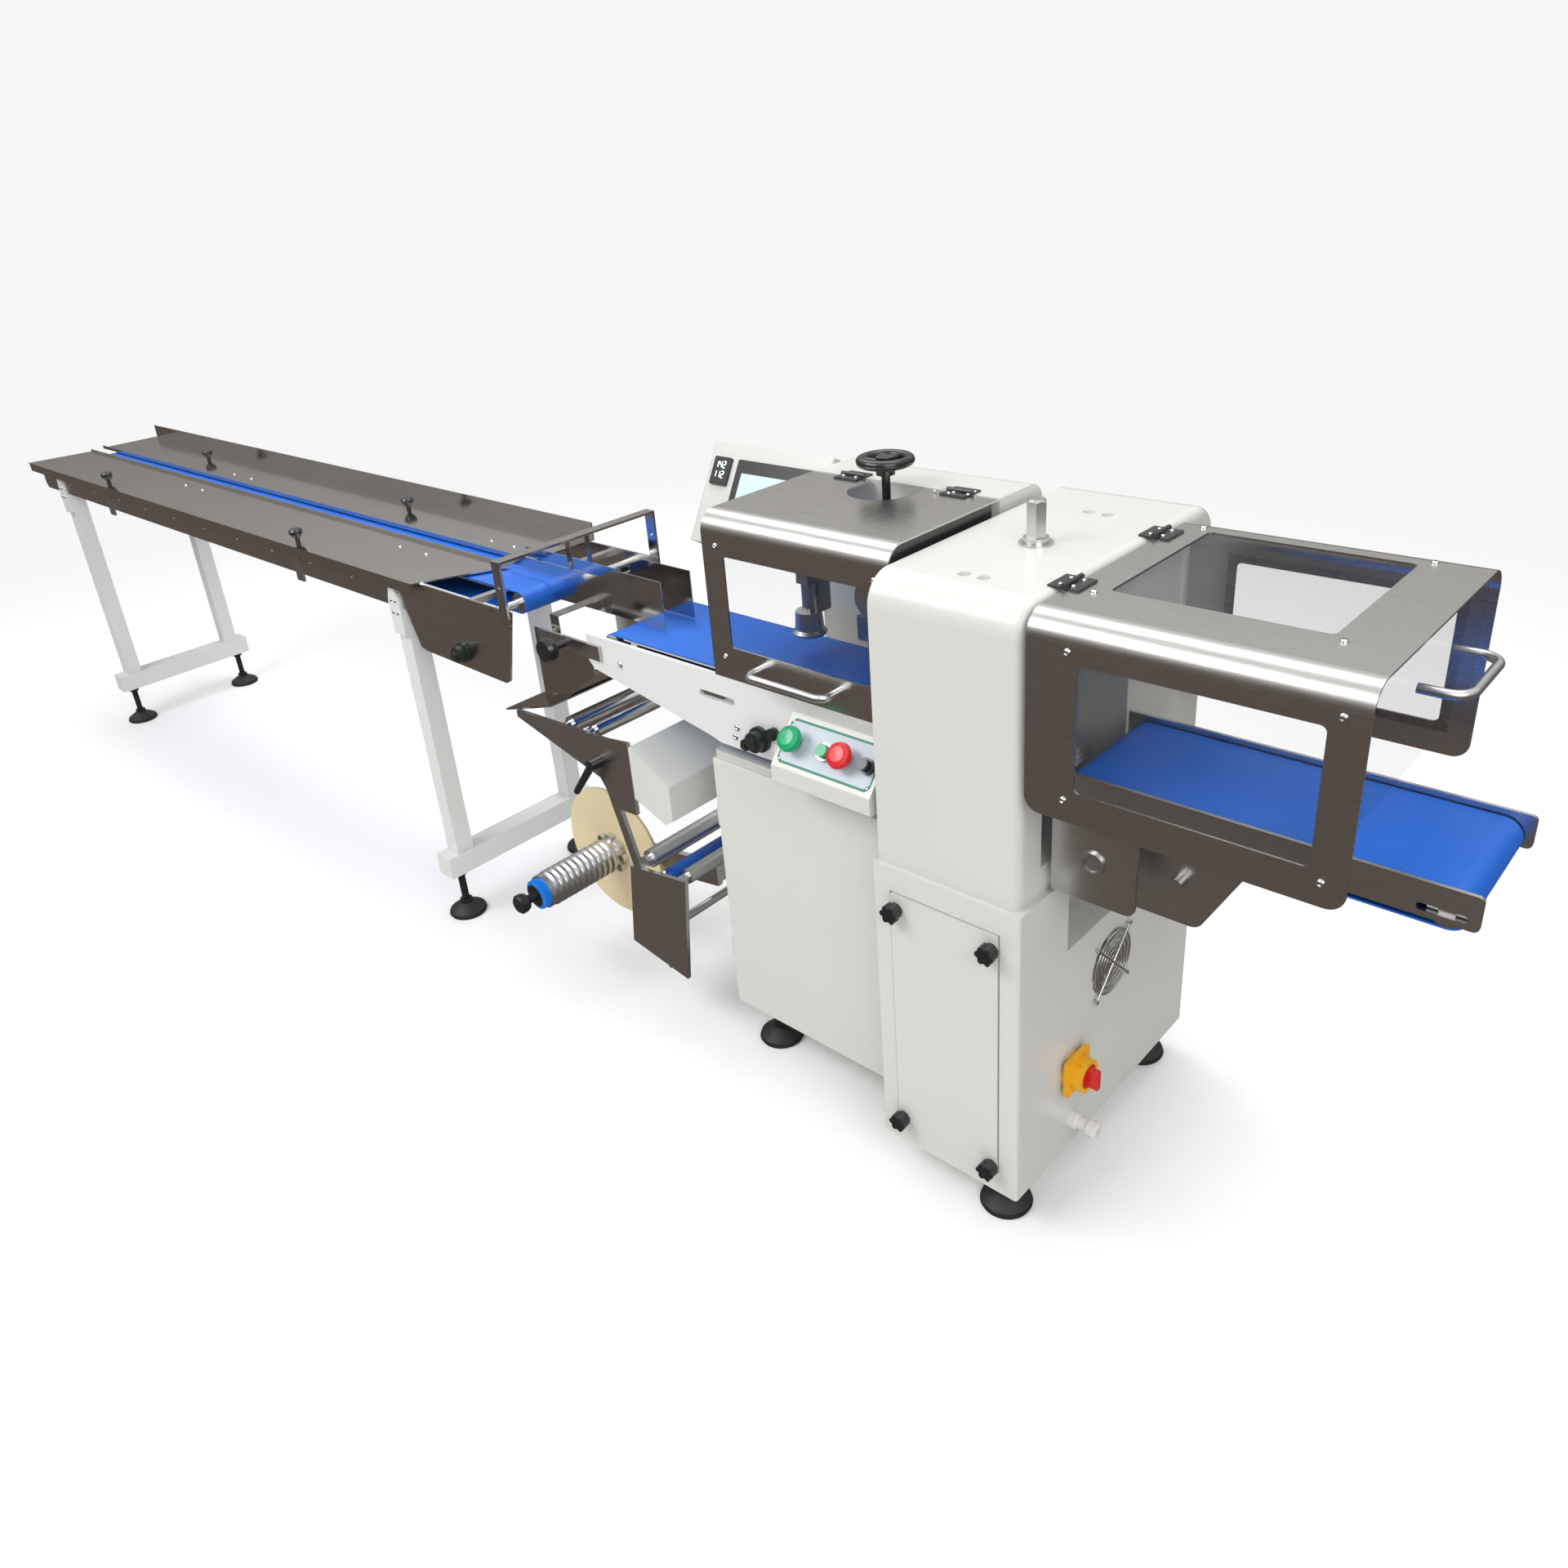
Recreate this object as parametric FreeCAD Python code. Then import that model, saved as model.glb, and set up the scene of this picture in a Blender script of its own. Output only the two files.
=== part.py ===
"""Horizontal flow wrapper: infeed table, film unreel, seal conveyor, jaw tower and discharge conveyor.

Millimetres. X runs with the product, Y from the operator's side to the rear, Z up.
All places are first measured from the jaw cabinet's left face, the product lane and the floor.
The finished model is then centred on its own overall box.
"""
import FreeCAD, Part
import math
import os

V = FreeCAD.Vector
AXIS_X, AXIS_Y, AXIS_Z = V(1, 0, 0), V(0, 1, 0), V(0, 0, 1)

# ---------------------------------------------------------------- driving dimensions
SEAT = 0.3                      # running gap between pieces that move on each other
SWING_GAP = 6.0                 # room beside a swinging cover
SHEET = 3.0                     # bent sheet metal
PLATE = 8.0                     # machined side plates

BELT_Z = 780.0                  # carrying face of the seal and discharge belts
BELT_T = 2.5
BELT_WIDTH = 194.0
CONVEYOR_HALF = 100.0           # inside half width between conveyor side plates

CABINET_LENGTH = 254.0          # jaw cabinet along X
CABINET_FRONT = -175.0
CABINET_REAR = 365.0
CABINET_FLOOR = 70.0
CABINET_TOP = 588.0
CABINET_ROUND = 5.0

TOWER_INSET = 8.0
TOWER_TOP = 1025.0
TOWER_ROUND = 45.0
TUNNEL_HALF = 112.0
JAW_RADIUS = 76.0
JAW_WIDTH = 176.0
JAW_SHAFT_R = 15.0
JAW_MEET_Z = BELT_Z + 14.0

BASE_LENGTH = 400.0             # middle cabinet along X
BASE_FRONT = -110.0
BASE_REAR = 285.0
BASE_FLOOR = 100.0
BASE_TOP = 622.0
DOOR_T = 12.0

SEAL_LENGTH = 700.0             # seal conveyor, left end to the tower
SEAL_TAPER = 300.0
SEAL_END_LOW = 65.0             # side plate depth at its free end
SEAL_LOW = 125.0                # and at the cabinet

COVER_LENGTH = 364.0            # fin seal cover
COVER_REACH = 266.0             # front to hinge
COVER_TOP = 1043.0
COVER_ROUND = 33.0

OUT_COVER_LENGTH = 400.0        # discharge cover
OUT_COVER_FRONT = -170.0
OUT_COVER_REAR = 265.0
OUT_COVER_TOP = TOWER_TOP
OUT_COVER_BOTTOM = 757.0
OUT_COVER_ROUND = 33.0
OUT_LENGTH = 523.0              # discharge conveyor past the cabinet

INFEED_LENGTH = 2198.0          # table plates
INFEED_HALF = 180.0             # outside half width of the side plates
INFEED_WALL = 4.0
INFEED_Z = 812.0                # underside of the table plates
CHANNEL_DEPTH = 67.0
HEAD_LENGTH = 371.0             # deep drive head at the delivery end
HEAD_DEPTH = 152.0
TABLE_FRONT, SLOT_FRONT = -195.0, -20.0
SLOT_REAR, TABLE_REAR = 20.0, 190.0
FENCE = 38.0
LEG_TUBE = 40.0
LEG_SPREAD = 204.0              # half length of a base bar
BAR_Z, BAR_T, BAR_W = 110.0, 50.0, 50.0
FOOT_INSET = 34.0
FORMER_LENGTH = 170.0           # forming box ahead of the seal conveyor
FORMER_HALF = 98.0
BRIDGE_RISE = 94.0              # exit bridge above the table plates

REEL_X, REEL_Z = -832.0, 224.0
REEL_RADIUS = 143.0
REEL_Y = -21.0
MANDREL_R = 37.0
MANDREL_LENGTH = 190.0
MANDREL_SHAFT_R = 12.0
FILM_FRONT, FILM_REAR = -145.0, 150.0
FILM_PLATE = 8.0
FILM_ROLLER_R = 18.0
ROLLER_PIN_R = 6.0


# ---------------------------------------------------------------- drawing helpers
def block(x0, x1, y0, y1, z0, z1):
    """A box between its low and high corners."""
    return Part.makeBox(x1 - x0, y1 - y0, z1 - z0, V(x0, y0, z0))


def rod(radius, start, end):
    """A round bar from one point to another."""
    start, end = V(*start), V(*end)
    return Part.makeCylinder(radius, (end - start).Length, start, end - start)


def tube(outer, inner, start, end):
    return rod(outer, start, end).cut(rod(inner, start, end))


def prism_y(points, y0, y1):
    """A profile in XZ, extruded along Y."""
    wire = Part.makePolygon([V(x, y0, z) for x, z in points + points[:1]])
    return Part.Face(wire).extrude(V(0, y1 - y0, 0))


def prism_x(points, x0, x1):
    """A profile in YZ, extruded along X."""
    wire = Part.makePolygon([V(x0, y, z) for y, z in points + points[:1]])
    return Part.Face(wire).extrude(V(x1 - x0, 0, 0))


def prism_z(points, z0, z1):
    """A profile in XY, extruded along Z."""
    wire = Part.makePolygon([V(x, y, z0) for x, y in points + points[:1]])
    return Part.Face(wire).extrude(V(0, 0, z1 - z0))


def hexagon(across, centre, height):
    """A hexagonal bar standing on a point."""
    r = across / math.sqrt(3)
    x, y, z = centre
    corners = [(x + r * math.cos(a * math.pi / 3), y + r * math.sin(a * math.pi / 3)) for a in range(6)]
    return prism_z(corners, z, z + height)


def fuse(shapes):
    joined = shapes[0].fuse(shapes[1:]) if len(shapes) > 1 else shapes[0]
    return joined.removeSplitter()


def along(edge, axis):
    """True for a straight edge parallel to an axis."""
    ends = edge.Vertexes
    if len(ends) < 2:
        return False
    line = ends[1].Point - ends[0].Point
    return line.Length > 0.5 and line.cross(axis).Length < 1e-6 * line.Length


def round_edges(shape, radius, axis, keep):
    """Fillet the edges that run along an axis and whose middle satisfies keep."""
    edges = [e for e in shape.Edges if along(e, axis) and keep(e.CenterOfMass)]
    return shape.makeFillet(radius, edges)


def revolve(profile, base, axis):
    """Turn a profile of (radius, height) points about an axis through base."""
    side = V(1, 0, 0) if abs(axis.x) < 0.5 else V(0, 1, 0)
    points = [base + side * r + axis * h for r, h in profile]
    return Part.Face(Part.makePolygon(points + points[:1])).revolve(base, axis, 360)


# ---------------------------------------------------------------- places worked out from the above
cabinet_x0, cabinet_x1 = 0.0, CABINET_LENGTH
tower_x0, tower_x1 = TOWER_INSET, CABINET_LENGTH - TOWER_INSET
tower_y0, tower_y1 = CABINET_FRONT + TOWER_INSET, CABINET_REAR - TOWER_INSET
tower_mid = (tower_x0 + tower_x1) / 2
jaw_z_low, jaw_z_high = JAW_MEET_Z - JAW_RADIUS - 2.5, JAW_MEET_Z + JAW_RADIUS + 2.5
tunnel_z0, tunnel_z1 = jaw_z_low - JAW_RADIUS - SWING_GAP, jaw_z_high + JAW_RADIUS + SWING_GAP

base_x0, base_x1 = -BASE_LENGTH, 0.0
seal_x0, seal_x1 = -SEAL_LENGTH, 0.0
cover_x0, cover_x1 = -3.0 - COVER_LENGTH, -3.0
cover_front = -CONVEYOR_HALF - PLATE
cover_rear = cover_front + COVER_REACH
seal_plate_z = BELT_Z - 8.0
cover_bottom = seal_plate_z + SEAT

out_cover_x0 = cabinet_x1
out_cover_x1 = out_cover_x0 + OUT_COVER_LENGTH
out_x1 = cabinet_x1 + OUT_LENGTH

former_x0, former_x1 = seal_x0 - FORMER_LENGTH, seal_x0 - 4.0
infeed_belt_x1 = former_x0 - 15.0
head_x1 = infeed_belt_x1 + 73.0
head_x0 = head_x1 - HEAD_LENGTH
table_x1 = head_x1 - 213.0
table_x0 = table_x1 - INFEED_LENGTH
channel_x0 = table_x0 + 53.0
channel_z0 = INFEED_Z - CHANNEL_DEPTH
infeed_inner = INFEED_HALF - INFEED_WALL
infeed_belt_z = INFEED_Z - 4.0
leg_x = [channel_x0 + 132.0, head_x0 - 35.0]


# ---------------------------------------------------------------- base cabinets and tower
def jaw_cabinet():
    """Welded cabinet with a stepped pocket for the discharge drive and a fan opening."""
    body = block(cabinet_x0, cabinet_x1, CABINET_FRONT, CABINET_REAR, CABINET_FLOOR, CABINET_TOP)
    body = round_edges(body, CABINET_ROUND, AXIS_Z, lambda c: True)
    pocket = block(cabinet_x1 - 64, cabinet_x1 + 1, -47, 200, 460, CABINET_TOP + 1)
    fan_x = cabinet_x1 - 14
    fan_hole = rod(fan_radius, (fan_x, fan_y, fan_z), (cabinet_x1 + 1, fan_y, fan_z))
    recess = block(door_x0 - 2, door_x1 + 2, CABINET_FRONT - 1, CABINET_FRONT + DOOR_T, door_z0 - 2, door_z1 + 2)
    return body.cut(pocket).cut(fan_hole).cut(recess)


door_x0, door_x1 = cabinet_x0 + 34.0, cabinet_x1 - 34.0
door_z0, door_z1 = CABINET_FLOOR + 42.0, CABINET_TOP - 42.0
star_inset_x, star_inset_z = 10.0, 26.0
fan_y, fan_z, fan_radius = 87.0, 362.0, 56.0


def access_door():
    """Lift-off front panel, standing a little proud of the cabinet face."""
    panel = block(door_x0, door_x1, CABINET_FRONT - 2, CABINET_FRONT + DOOR_T, door_z0, door_z1)
    return round_edges(panel, 3, AXIS_Y, lambda c: True)


def star_knob(x, y, z, radius=15.0, depth=20.0):
    """Six-lobed clamping knob whose back lies on a face looking along -Y."""
    core = rod(radius * 0.78, (x, y, z), (x, y - depth, z))
    lobes = []
    for k in range(6):
        a = k * math.pi / 3
        cx, cz = x + radius * 0.72 * math.cos(a), z + radius * 0.72 * math.sin(a)
        lobes.append(rod(radius * 0.3, (cx, y - depth * 0.3, cz), (cx, y - depth, cz)))
    return fuse([core] + lobes)


def fan_guard():
    """Finger guard of round wire rings on a cross, over the fan hub."""
    x = cabinet_x1
    wire = 1.6
    rings = []
    for k in range(5):
        ring = Part.makeTorus(fan_radius - 3 - 10.5 * k, wire, V(x + 2.5 * wire, fan_y, fan_z), AXIS_X)
        rings.append(ring)
    arms = []
    reach = fan_radius + 12
    for a in (math.radians(45), math.radians(135)):
        dy, dz = reach * math.cos(a), reach * math.sin(a)
        arms.append(rod(wire * 1.2, (x + 3.2 * wire, fan_y - dy, fan_z - dz), (x + 3.2 * wire, fan_y + dy, fan_z + dz)))
        for s in (-1, 1):
            arms.append(rod(3.5, (x, fan_y + s * dy, fan_z + s * dz), (x + 4.5 * wire, fan_y + s * dy, fan_z + s * dz)))
    return fuse(rings + arms)


def fan_rotor():
    """Fan hub with seven blades, seated on the floor of the fan opening."""
    x0 = cabinet_x1 - 14
    hub = rod(19, (x0, fan_y, fan_z), (x0 + 11, fan_y, fan_z))
    blades = []
    for k in range(7):
        a = k * 2 * math.pi / 7
        blade = block(x0 + 3, x0 + 6, -6, 6, 15, fan_radius - 4)
        blade.rotate(V(x0 + 4.5, 0, 30), AXIS_Z, 28)
        blade.rotate(V(0, 0, 0), AXIS_X, math.degrees(a))
        blade.translate(V(0, fan_y, fan_z))
        blades.append(blade)
    return fuse([hub] + blades)


isolator_y, isolator_z = -25.0, 227.0


def isolator_base():
    """Square back plate and round collar of the mains isolator, with the clear junction ring behind."""
    x = cabinet_x1
    plate = block(x + 6, x + 14, isolator_y - 32, isolator_y + 32, isolator_z - 32, isolator_z + 32)
    plate = round_edges(plate, 4, AXIS_X, lambda c: True)
    back = rod(29, (x, isolator_y, isolator_z), (x + 6, isolator_y, isolator_z))
    collar = rod(27, (x + 14, isolator_y, isolator_z), (x + 32, isolator_y, isolator_z))
    well = rod(20, (x + 26, isolator_y, isolator_z), (x + 33, isolator_y, isolator_z))
    notches = [block(x + 17, x + 25, isolator_y - 4 + d, isolator_y + 4 + d, isolator_z + 22, isolator_z + 28) for d in (-14, 14)]
    return fuse([plate, back, collar]).cut(well).cut(Part.makeCompound(notches))


def isolator_handle():
    """Red rotary grip that turns in the collar."""
    x = cabinet_x1 + 26 + SEAT
    disc = rod(19, (x, isolator_y, isolator_z), (x + 5, isolator_y, isolator_z))
    grip = block(x + 5, x + 22, isolator_y - 6, isolator_y + 6, isolator_z - 18, isolator_z + 18)
    grip = round_edges(grip, 4, AXIS_X, lambda c: True)
    return fuse([disc, grip])


def air_fitting():
    """Push-in fitting below the isolator."""
    x, y, z = cabinet_x1, -19.0, 120.0
    profile = [(0, 0), (13, 0), (13, 12), (10, 14), (10, 30), (14, 32), (14, 46), (6, 48), (6, 40), (0, 40)]
    return revolve(profile, V(x, y, z), AXIS_X)


def jaw_tower():
    """Rounded end-seal housing, open both sides where the wrapped product runs through the jaws."""
    body = block(tower_x0, tower_x1, tower_y0, tower_y1, CABINET_TOP, TOWER_TOP)
    body = round_edges(body, TOWER_ROUND, AXIS_X, lambda c: c.z > TOWER_TOP - 1)
    body = round_edges(body, 14, AXIS_Z, lambda c: c.x > tower_x1 - 1)
    tunnel = block(tower_x0 - 1, tower_x1 + 1, -TUNNEL_HALF, TUNNEL_HALF, tunnel_z0, tunnel_z1)
    body = body.cut(tunnel)
    for z in (jaw_z_low, jaw_z_high):
        reach = TUNNEL_HALF + 24
        body = body.cut(rod(JAW_SHAFT_R, (tower_mid, -reach, z), (tower_mid, reach, z)))
    for x, y in tower_eyes:
        body = body.cut(rod(eye_radius, (x, y, TOWER_TOP - 6), (x, y, TOWER_TOP + 1)))
    return body


eye_radius = 9.0
tower_eyes = [(tower_mid + dx, y) for y in (tower_y0 + 70, tower_y1 - 138) for dx in (-12, 18)]
adjuster_y = 56.0


def height_adjuster():
    """Hexagonal stud on a washer and collar, for setting the jaw height."""
    x, z = tower_mid, TOWER_TOP
    washer = rod(24, (x, adjuster_y, z), (x, adjuster_y, z + 3))
    collar = rod(18, (x, adjuster_y, z + 3), (x, adjuster_y, z + 10))
    stud = hexagon(26, (x, adjuster_y, z + 10), 48)
    crown = Part.makeCone(15.5, 11, 5, V(x, adjuster_y, z + 58))
    return fuse([washer, collar, stud, crown.common(hexagon(26, (x, adjuster_y, z + 58), 5))])


def jaw(z, turn):
    """Shaft with two opposed crimping bars; the sealing faces carry fine vertical teeth."""
    reach = TUNNEL_HALF + 22
    shaft = rod(JAW_SHAFT_R, (tower_mid, -reach, z), (tower_mid, reach, z))
    half = JAW_WIDTH / 2
    hub = rod(34, (tower_mid, -half, z), (tower_mid, half, z))
    bars = []
    for s in (-1, 1):
        root, face = 20.0, JAW_RADIUS
        points = [(tower_mid - 22, z + s * root), (tower_mid + 22, z + s * root), (tower_mid + 14, z + s * face * 0.93)]
        teeth = 6
        for k in range(teeth + 1):
            x = tower_mid + 14 - 28 * k / teeth
            points.append((x, z + s * (face - (0.0 if k % 2 else 3.0))))
        points.append((tower_mid - 14, z + s * face * 0.93))
        bars.append(prism_y(points, -half, half))
    whole = fuse([shaft, hub] + bars)
    whole.rotate(V(tower_mid, 0, z), AXIS_Y, turn)
    return whole


def mid_cabinet():
    """Base cabinet under the seal conveyor; the recess at its front takes the door."""
    body = block(base_x0, base_x1, BASE_FRONT + DOOR_T, BASE_REAR, BASE_FLOOR, BASE_TOP)
    return round_edges(body, CABINET_ROUND, AXIS_Z, lambda c: c.x < base_x0 + 1)


def mid_cabinet_door():
    """Full-size front door of the middle cabinet."""
    z1 = BASE_TOP - 10
    panel = block(base_x0 + 6, base_x1 - 3, BASE_FRONT, BASE_FRONT + DOOR_T, BASE_FLOOR, z1)
    panel = round_edges(panel, 3, AXIS_X, lambda c: c.y < BASE_FRONT + 1)
    hinges = [rod(5, (base_x0 + 5, BASE_FRONT + 5, z), (base_x0 + 5, BASE_FRONT + 5, z + 40)) for z in (200, 480)]
    return fuse([panel] + hinges)


def levelling_foot(x, y, top):
    """Rubber-soled foot with ball neck, stud and lock nut up to the piece it carries."""
    pad = revolve([(0, 0), (40, 0), (42, 4), (40, 10), (22, 22), (14, 26), (14, 34), (0, 34)], V(x, y, 0), AXIS_Z)
    stud = rod(8, (x, y, 30), (x, y, top))
    nut = hexagon(24, (x, y, top - 12), 12)
    return fuse([pad, stud, nut])


def levelling_feet():
    places = [(base_x0 + 50, BASE_FRONT + 60, BASE_FLOOR), (base_x0 + 50, BASE_REAR - 60, BASE_FLOOR)]
    places += [(cabinet_x1 - 50, CABINET_FRONT + 50, CABINET_FLOOR), (cabinet_x1 - 50, CABINET_REAR - 50, CABINET_FLOOR)]
    for x in leg_x:
        for s in (-1, 1):
            places.append((x, s * (LEG_SPREAD - FOOT_INSET), BAR_Z))
    return [levelling_foot(*p) for p in places]


# ---------------------------------------------------------------- conveyors
def belt_loop(x0, x1, z_top, radius, width):
    """Endless flat belt round two equal pulleys; x0 and x1 are its outermost ends."""
    def loop(r):
        c0, c1, z = x0 + radius, x1 - radius, z_top - radius
        run = block(c0, c1, -width / 2, width / 2, z - r, z + r)
        ends = [rod(r, (c, -width / 2, z), (c, width / 2, z)) for c in (c0, c1)]
        return fuse([run] + ends)
    return loop(radius).cut(loop(radius - BELT_T))


def pulley(x, z, radius, half, bore_half):
    """Crowned-less belt pulley with its axle running out to the side plates."""
    drum = rod(radius, (x, -half, z), (x, half, z))
    axle = rod(radius * 0.42, (x, -bore_half, z), (x, bore_half, z))
    return fuse([drum, axle])


PULLEY_R = 24.0
HEAD_PULLEY_R = 22.0
seal_pulleys = [seal_x0 + 40 + PULLEY_R, seal_x1 - 12 - PULLEY_R]
out_pulleys = [cabinet_x1 + 12 + PULLEY_R, out_x1 - 16 - PULLEY_R]
infeed_pulleys = [channel_x0 + 20 + HEAD_PULLEY_R, infeed_belt_x1 - HEAD_PULLEY_R]


def mid_belt():
    return belt_loop(seal_pulleys[0] - PULLEY_R, seal_pulleys[1] + PULLEY_R, BELT_Z, PULLEY_R, BELT_WIDTH)


def discharge_belt():
    return belt_loop(out_pulleys[0] - PULLEY_R, out_pulleys[1] + PULLEY_R, BELT_Z, PULLEY_R, BELT_WIDTH)


def infeed_belt():
    return belt_loop(infeed_pulleys[0] - HEAD_PULLEY_R, infeed_pulleys[1] + HEAD_PULLEY_R, infeed_belt_z,
                     HEAD_PULLEY_R, BELT_WIDTH)


def belt_rollers():
    drums = []
    rows = [(seal_pulleys, BELT_Z, PULLEY_R, CONVEYOR_HALF), (out_pulleys, BELT_Z, PULLEY_R, CONVEYOR_HALF),
            (infeed_pulleys, infeed_belt_z, HEAD_PULLEY_R, infeed_inner)]
    for places, z_top, radius, half in rows:
        for x in places:
            drums.append(pulley(x, z_top - radius, radius - BELT_T, BELT_WIDTH / 2, half))
    return drums


def slider_bed(x0, x1, z_top, radius, half):
    """Sheet under the carrying run, reaching from one side plate to the other below the belt edge."""
    top = z_top - BELT_T
    inner = BELT_WIDTH / 2
    deck = block(x0, x1, -inner, inner, top - SHEET, top)
    cross = []
    for x in (x0 + 30, (x0 + x1) / 2, x1 - 30):
        cross.append(block(x - 8, x + 8, -half, half, top - SHEET - 12, top - SHEET))
    return fuse([deck] + cross)


def slider_beds():
    return [slider_bed(seal_pulleys[0] + 30, seal_pulleys[1] - 30, BELT_Z, PULLEY_R, CONVEYOR_HALF),
            slider_bed(out_pulleys[0] + 30, out_pulleys[1] - 30, BELT_Z, PULLEY_R, CONVEYOR_HALF),
            slider_bed(infeed_pulleys[0] + 30, infeed_pulleys[1] - 30, infeed_belt_z, HEAD_PULLEY_R, infeed_inner)]


def slot_cut(x, z, length, width, y0, y1):
    """A round-ended slot tool through a side plate."""
    half = length / 2
    bar = block(x - half, x + half, y0 - 1, y1 + 1, z - width / 2, z + width / 2)
    return fuse([bar] + [rod(width / 2, (x + s * half, y0 - 1, z), (x + s * half, y1 + 1, z)) for s in (-1, 1)])


def mid_side_plates():
    """Painted side plates of the seal conveyor, tapered towards the free end."""
    z1 = seal_plate_z
    points = [(seal_x0, z1), (seal_x0, z1 - SEAL_END_LOW + 14), (seal_x0 + 14, z1 - SEAL_END_LOW),
              (seal_x0 + SEAL_TAPER, z1 - SEAL_LOW + 8), (seal_x0 + SEAL_TAPER + 30, z1 - SEAL_LOW),
              (seal_x1 - 1, z1 - SEAL_LOW), (seal_x1 - 1, z1)]
    plates = []
    for y0 in (-CONVEYOR_HALF - PLATE, CONVEYOR_HALF):
        plate = prism_y(points, y0, y0 + PLATE)
        plate = plate.cut(slot_cut(seal_x0 + 330, z1 - 42, 70, 12, y0, y0 + PLATE))
        plates.append(plate)
    return plates


def discharge_side_plates():
    """Side plates of the discharge conveyor with the belt take-up slots at the free end."""
    z1, z0 = BELT_Z + 8, BELT_Z - 36
    plates = []
    for y0 in (-CONVEYOR_HALF - 5, CONVEYOR_HALF):
        plate = block(cabinet_x1 + 2, out_x1 - 6, y0, y0 + 5, z0, z1)
        plate = round_edges(plate, 7, AXIS_Y, lambda c: c.x > out_x1 - 8)
        plates.append(plate.cut(slot_cut(out_x1 - 44, BELT_Z - PULLEY_R, 44, 9, y0, y0 + 5)))
    return plates


bracket_x = [cabinet_x1 + 4, cabinet_x1 + 128, cabinet_x1 + 204]


def discharge_brackets():
    """Hanging side brackets of the discharge conveyor, its push button and the drive box between them."""
    low = 602.0
    top = BELT_Z - 36
    solids = []
    for y0 in (-CONVEYOR_HALF - 5, CONVEYOR_HALF):
        hanger = block(bracket_x[0], bracket_x[1], y0, y0 + 5, low, top)
        solids.append(round_edges(hanger, 14, AXIS_Y, lambda c: c.x > bracket_x[1] - 1 and c.z < low + 1))
    box = block(tower_x1, bracket_x[2], -62, CONVEYOR_HALF, 590, 700)
    box = round_edges(box, 20, AXIS_Y, lambda c: c.x > bracket_x[2] - 1)
    plug = tube(17, 12, (bracket_x[0] + 62, -CONVEYOR_HALF - 9, low + 62), (bracket_x[0] + 62, -CONVEYOR_HALF - 5, low + 62))
    cap = rod(10, (bracket_x[0] + 62, -CONVEYOR_HALF - 7, low + 62), (bracket_x[0] + 62, -CONVEYOR_HALF - 5, low + 62))
    tie = block(bracket_x[0], bracket_x[0] + 10, -CONVEYOR_HALF, -62, 612, 690)
    stud = rod(9, (bracket_x[2] - 36, -62 - 16, 655), (bracket_x[2] - 36, -62, 655))
    return solids + [fuse([box, tie, stud]), fuse([plug]), fuse([cap])]


def flange_bearing(x, y, z, out, size, shaft):
    """Two-bolt flanged bearing on a side plate, with the shaft end in its bore."""
    y1 = y + out * 7
    flange = rod(size * 0.52, (x, y, z), (x, y1, z))
    ears = []
    for s in (-1, 1):
        ex, ez = x + s * size * 0.78, z + s * size * 0.45
        ears.append(rod(size * 0.24, (ex, y, ez), (ex, y1, ez)))
        ears.append(rod(size * 0.13, (ex, y1, ez), (ex, y1 + out * 5, ez)))
        web = block(-size * 0.9, size * 0.9, min(y, y1), max(y, y1), -size * 0.24, size * 0.24)
        web.rotate(V(0, 0, 0), AXIS_Y, -30)
        web.translate(V(x, 0, z))
        ears.append(web)
    barrel = rod(size * 0.42, (x, y1, z), (x, y1 + out * 13, z))
    end = rod(shaft, (x, y1 + out * 13, z), (x, y1 + out * 20, z))
    return fuse([flange, barrel, end] + ears)


def flange_bearings():
    seal_y = CONVEYOR_HALF + PLATE
    seal_z = seal_plate_z - SEAL_LOW + 34
    units = []
    for s in (-1, 1):
        units.append(flange_bearing(seal_x0 + 425, s * seal_y, seal_z, s, 42, 9))
        units.append(flange_bearing(head_x1 - 182, s * INFEED_HALF, INFEED_Z - HEAD_DEPTH + 36, s, 38, 8))
    return units


def nose_arms():
    """Pull-out nose: a flat arm each side, with the spacers that carry the forming box."""
    z0, z1 = BELT_Z - 52, BELT_Z - 24
    reach = seal_x0 - 138
    out = CONVEYOR_HALF + PLATE
    arms = []
    for s in (-1, 1):
        y0, y1 = sorted((s * out, s * (out + 6)))
        arm = round_edges(block(reach, seal_x0 + 40, y0, y1, z0, z1), 8, AXIS_Y, lambda c: c.x < reach + 1)
        pins = [rod(7, (x, s * FORMER_HALF, z1 - 14), (x, s * (out + 1), z1 - 14)) for x in (reach + 16, seal_x0 - 22)]
        arms.append(fuse([arm] + pins))
    return arms


# ---------------------------------------------------------------- infeed table
def infeed_side_plates():
    """Side plates that drop into the deep drive head at the delivery end."""
    low = INFEED_Z - HEAD_DEPTH
    points = [(channel_x0, channel_z0 + 12), (channel_x0 + 12, channel_z0), (head_x0, channel_z0),
              (head_x0 + 30, low + 10), (head_x0 + 50, low + 6), (head_x1 - 56, low), (head_x1 - 42, low + 8),
              (head_x1, INFEED_Z), (channel_x0, INFEED_Z)]
    return [prism_y(points, -INFEED_HALF, -infeed_inner), prism_y(points, infeed_inner, INFEED_HALF)]


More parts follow.
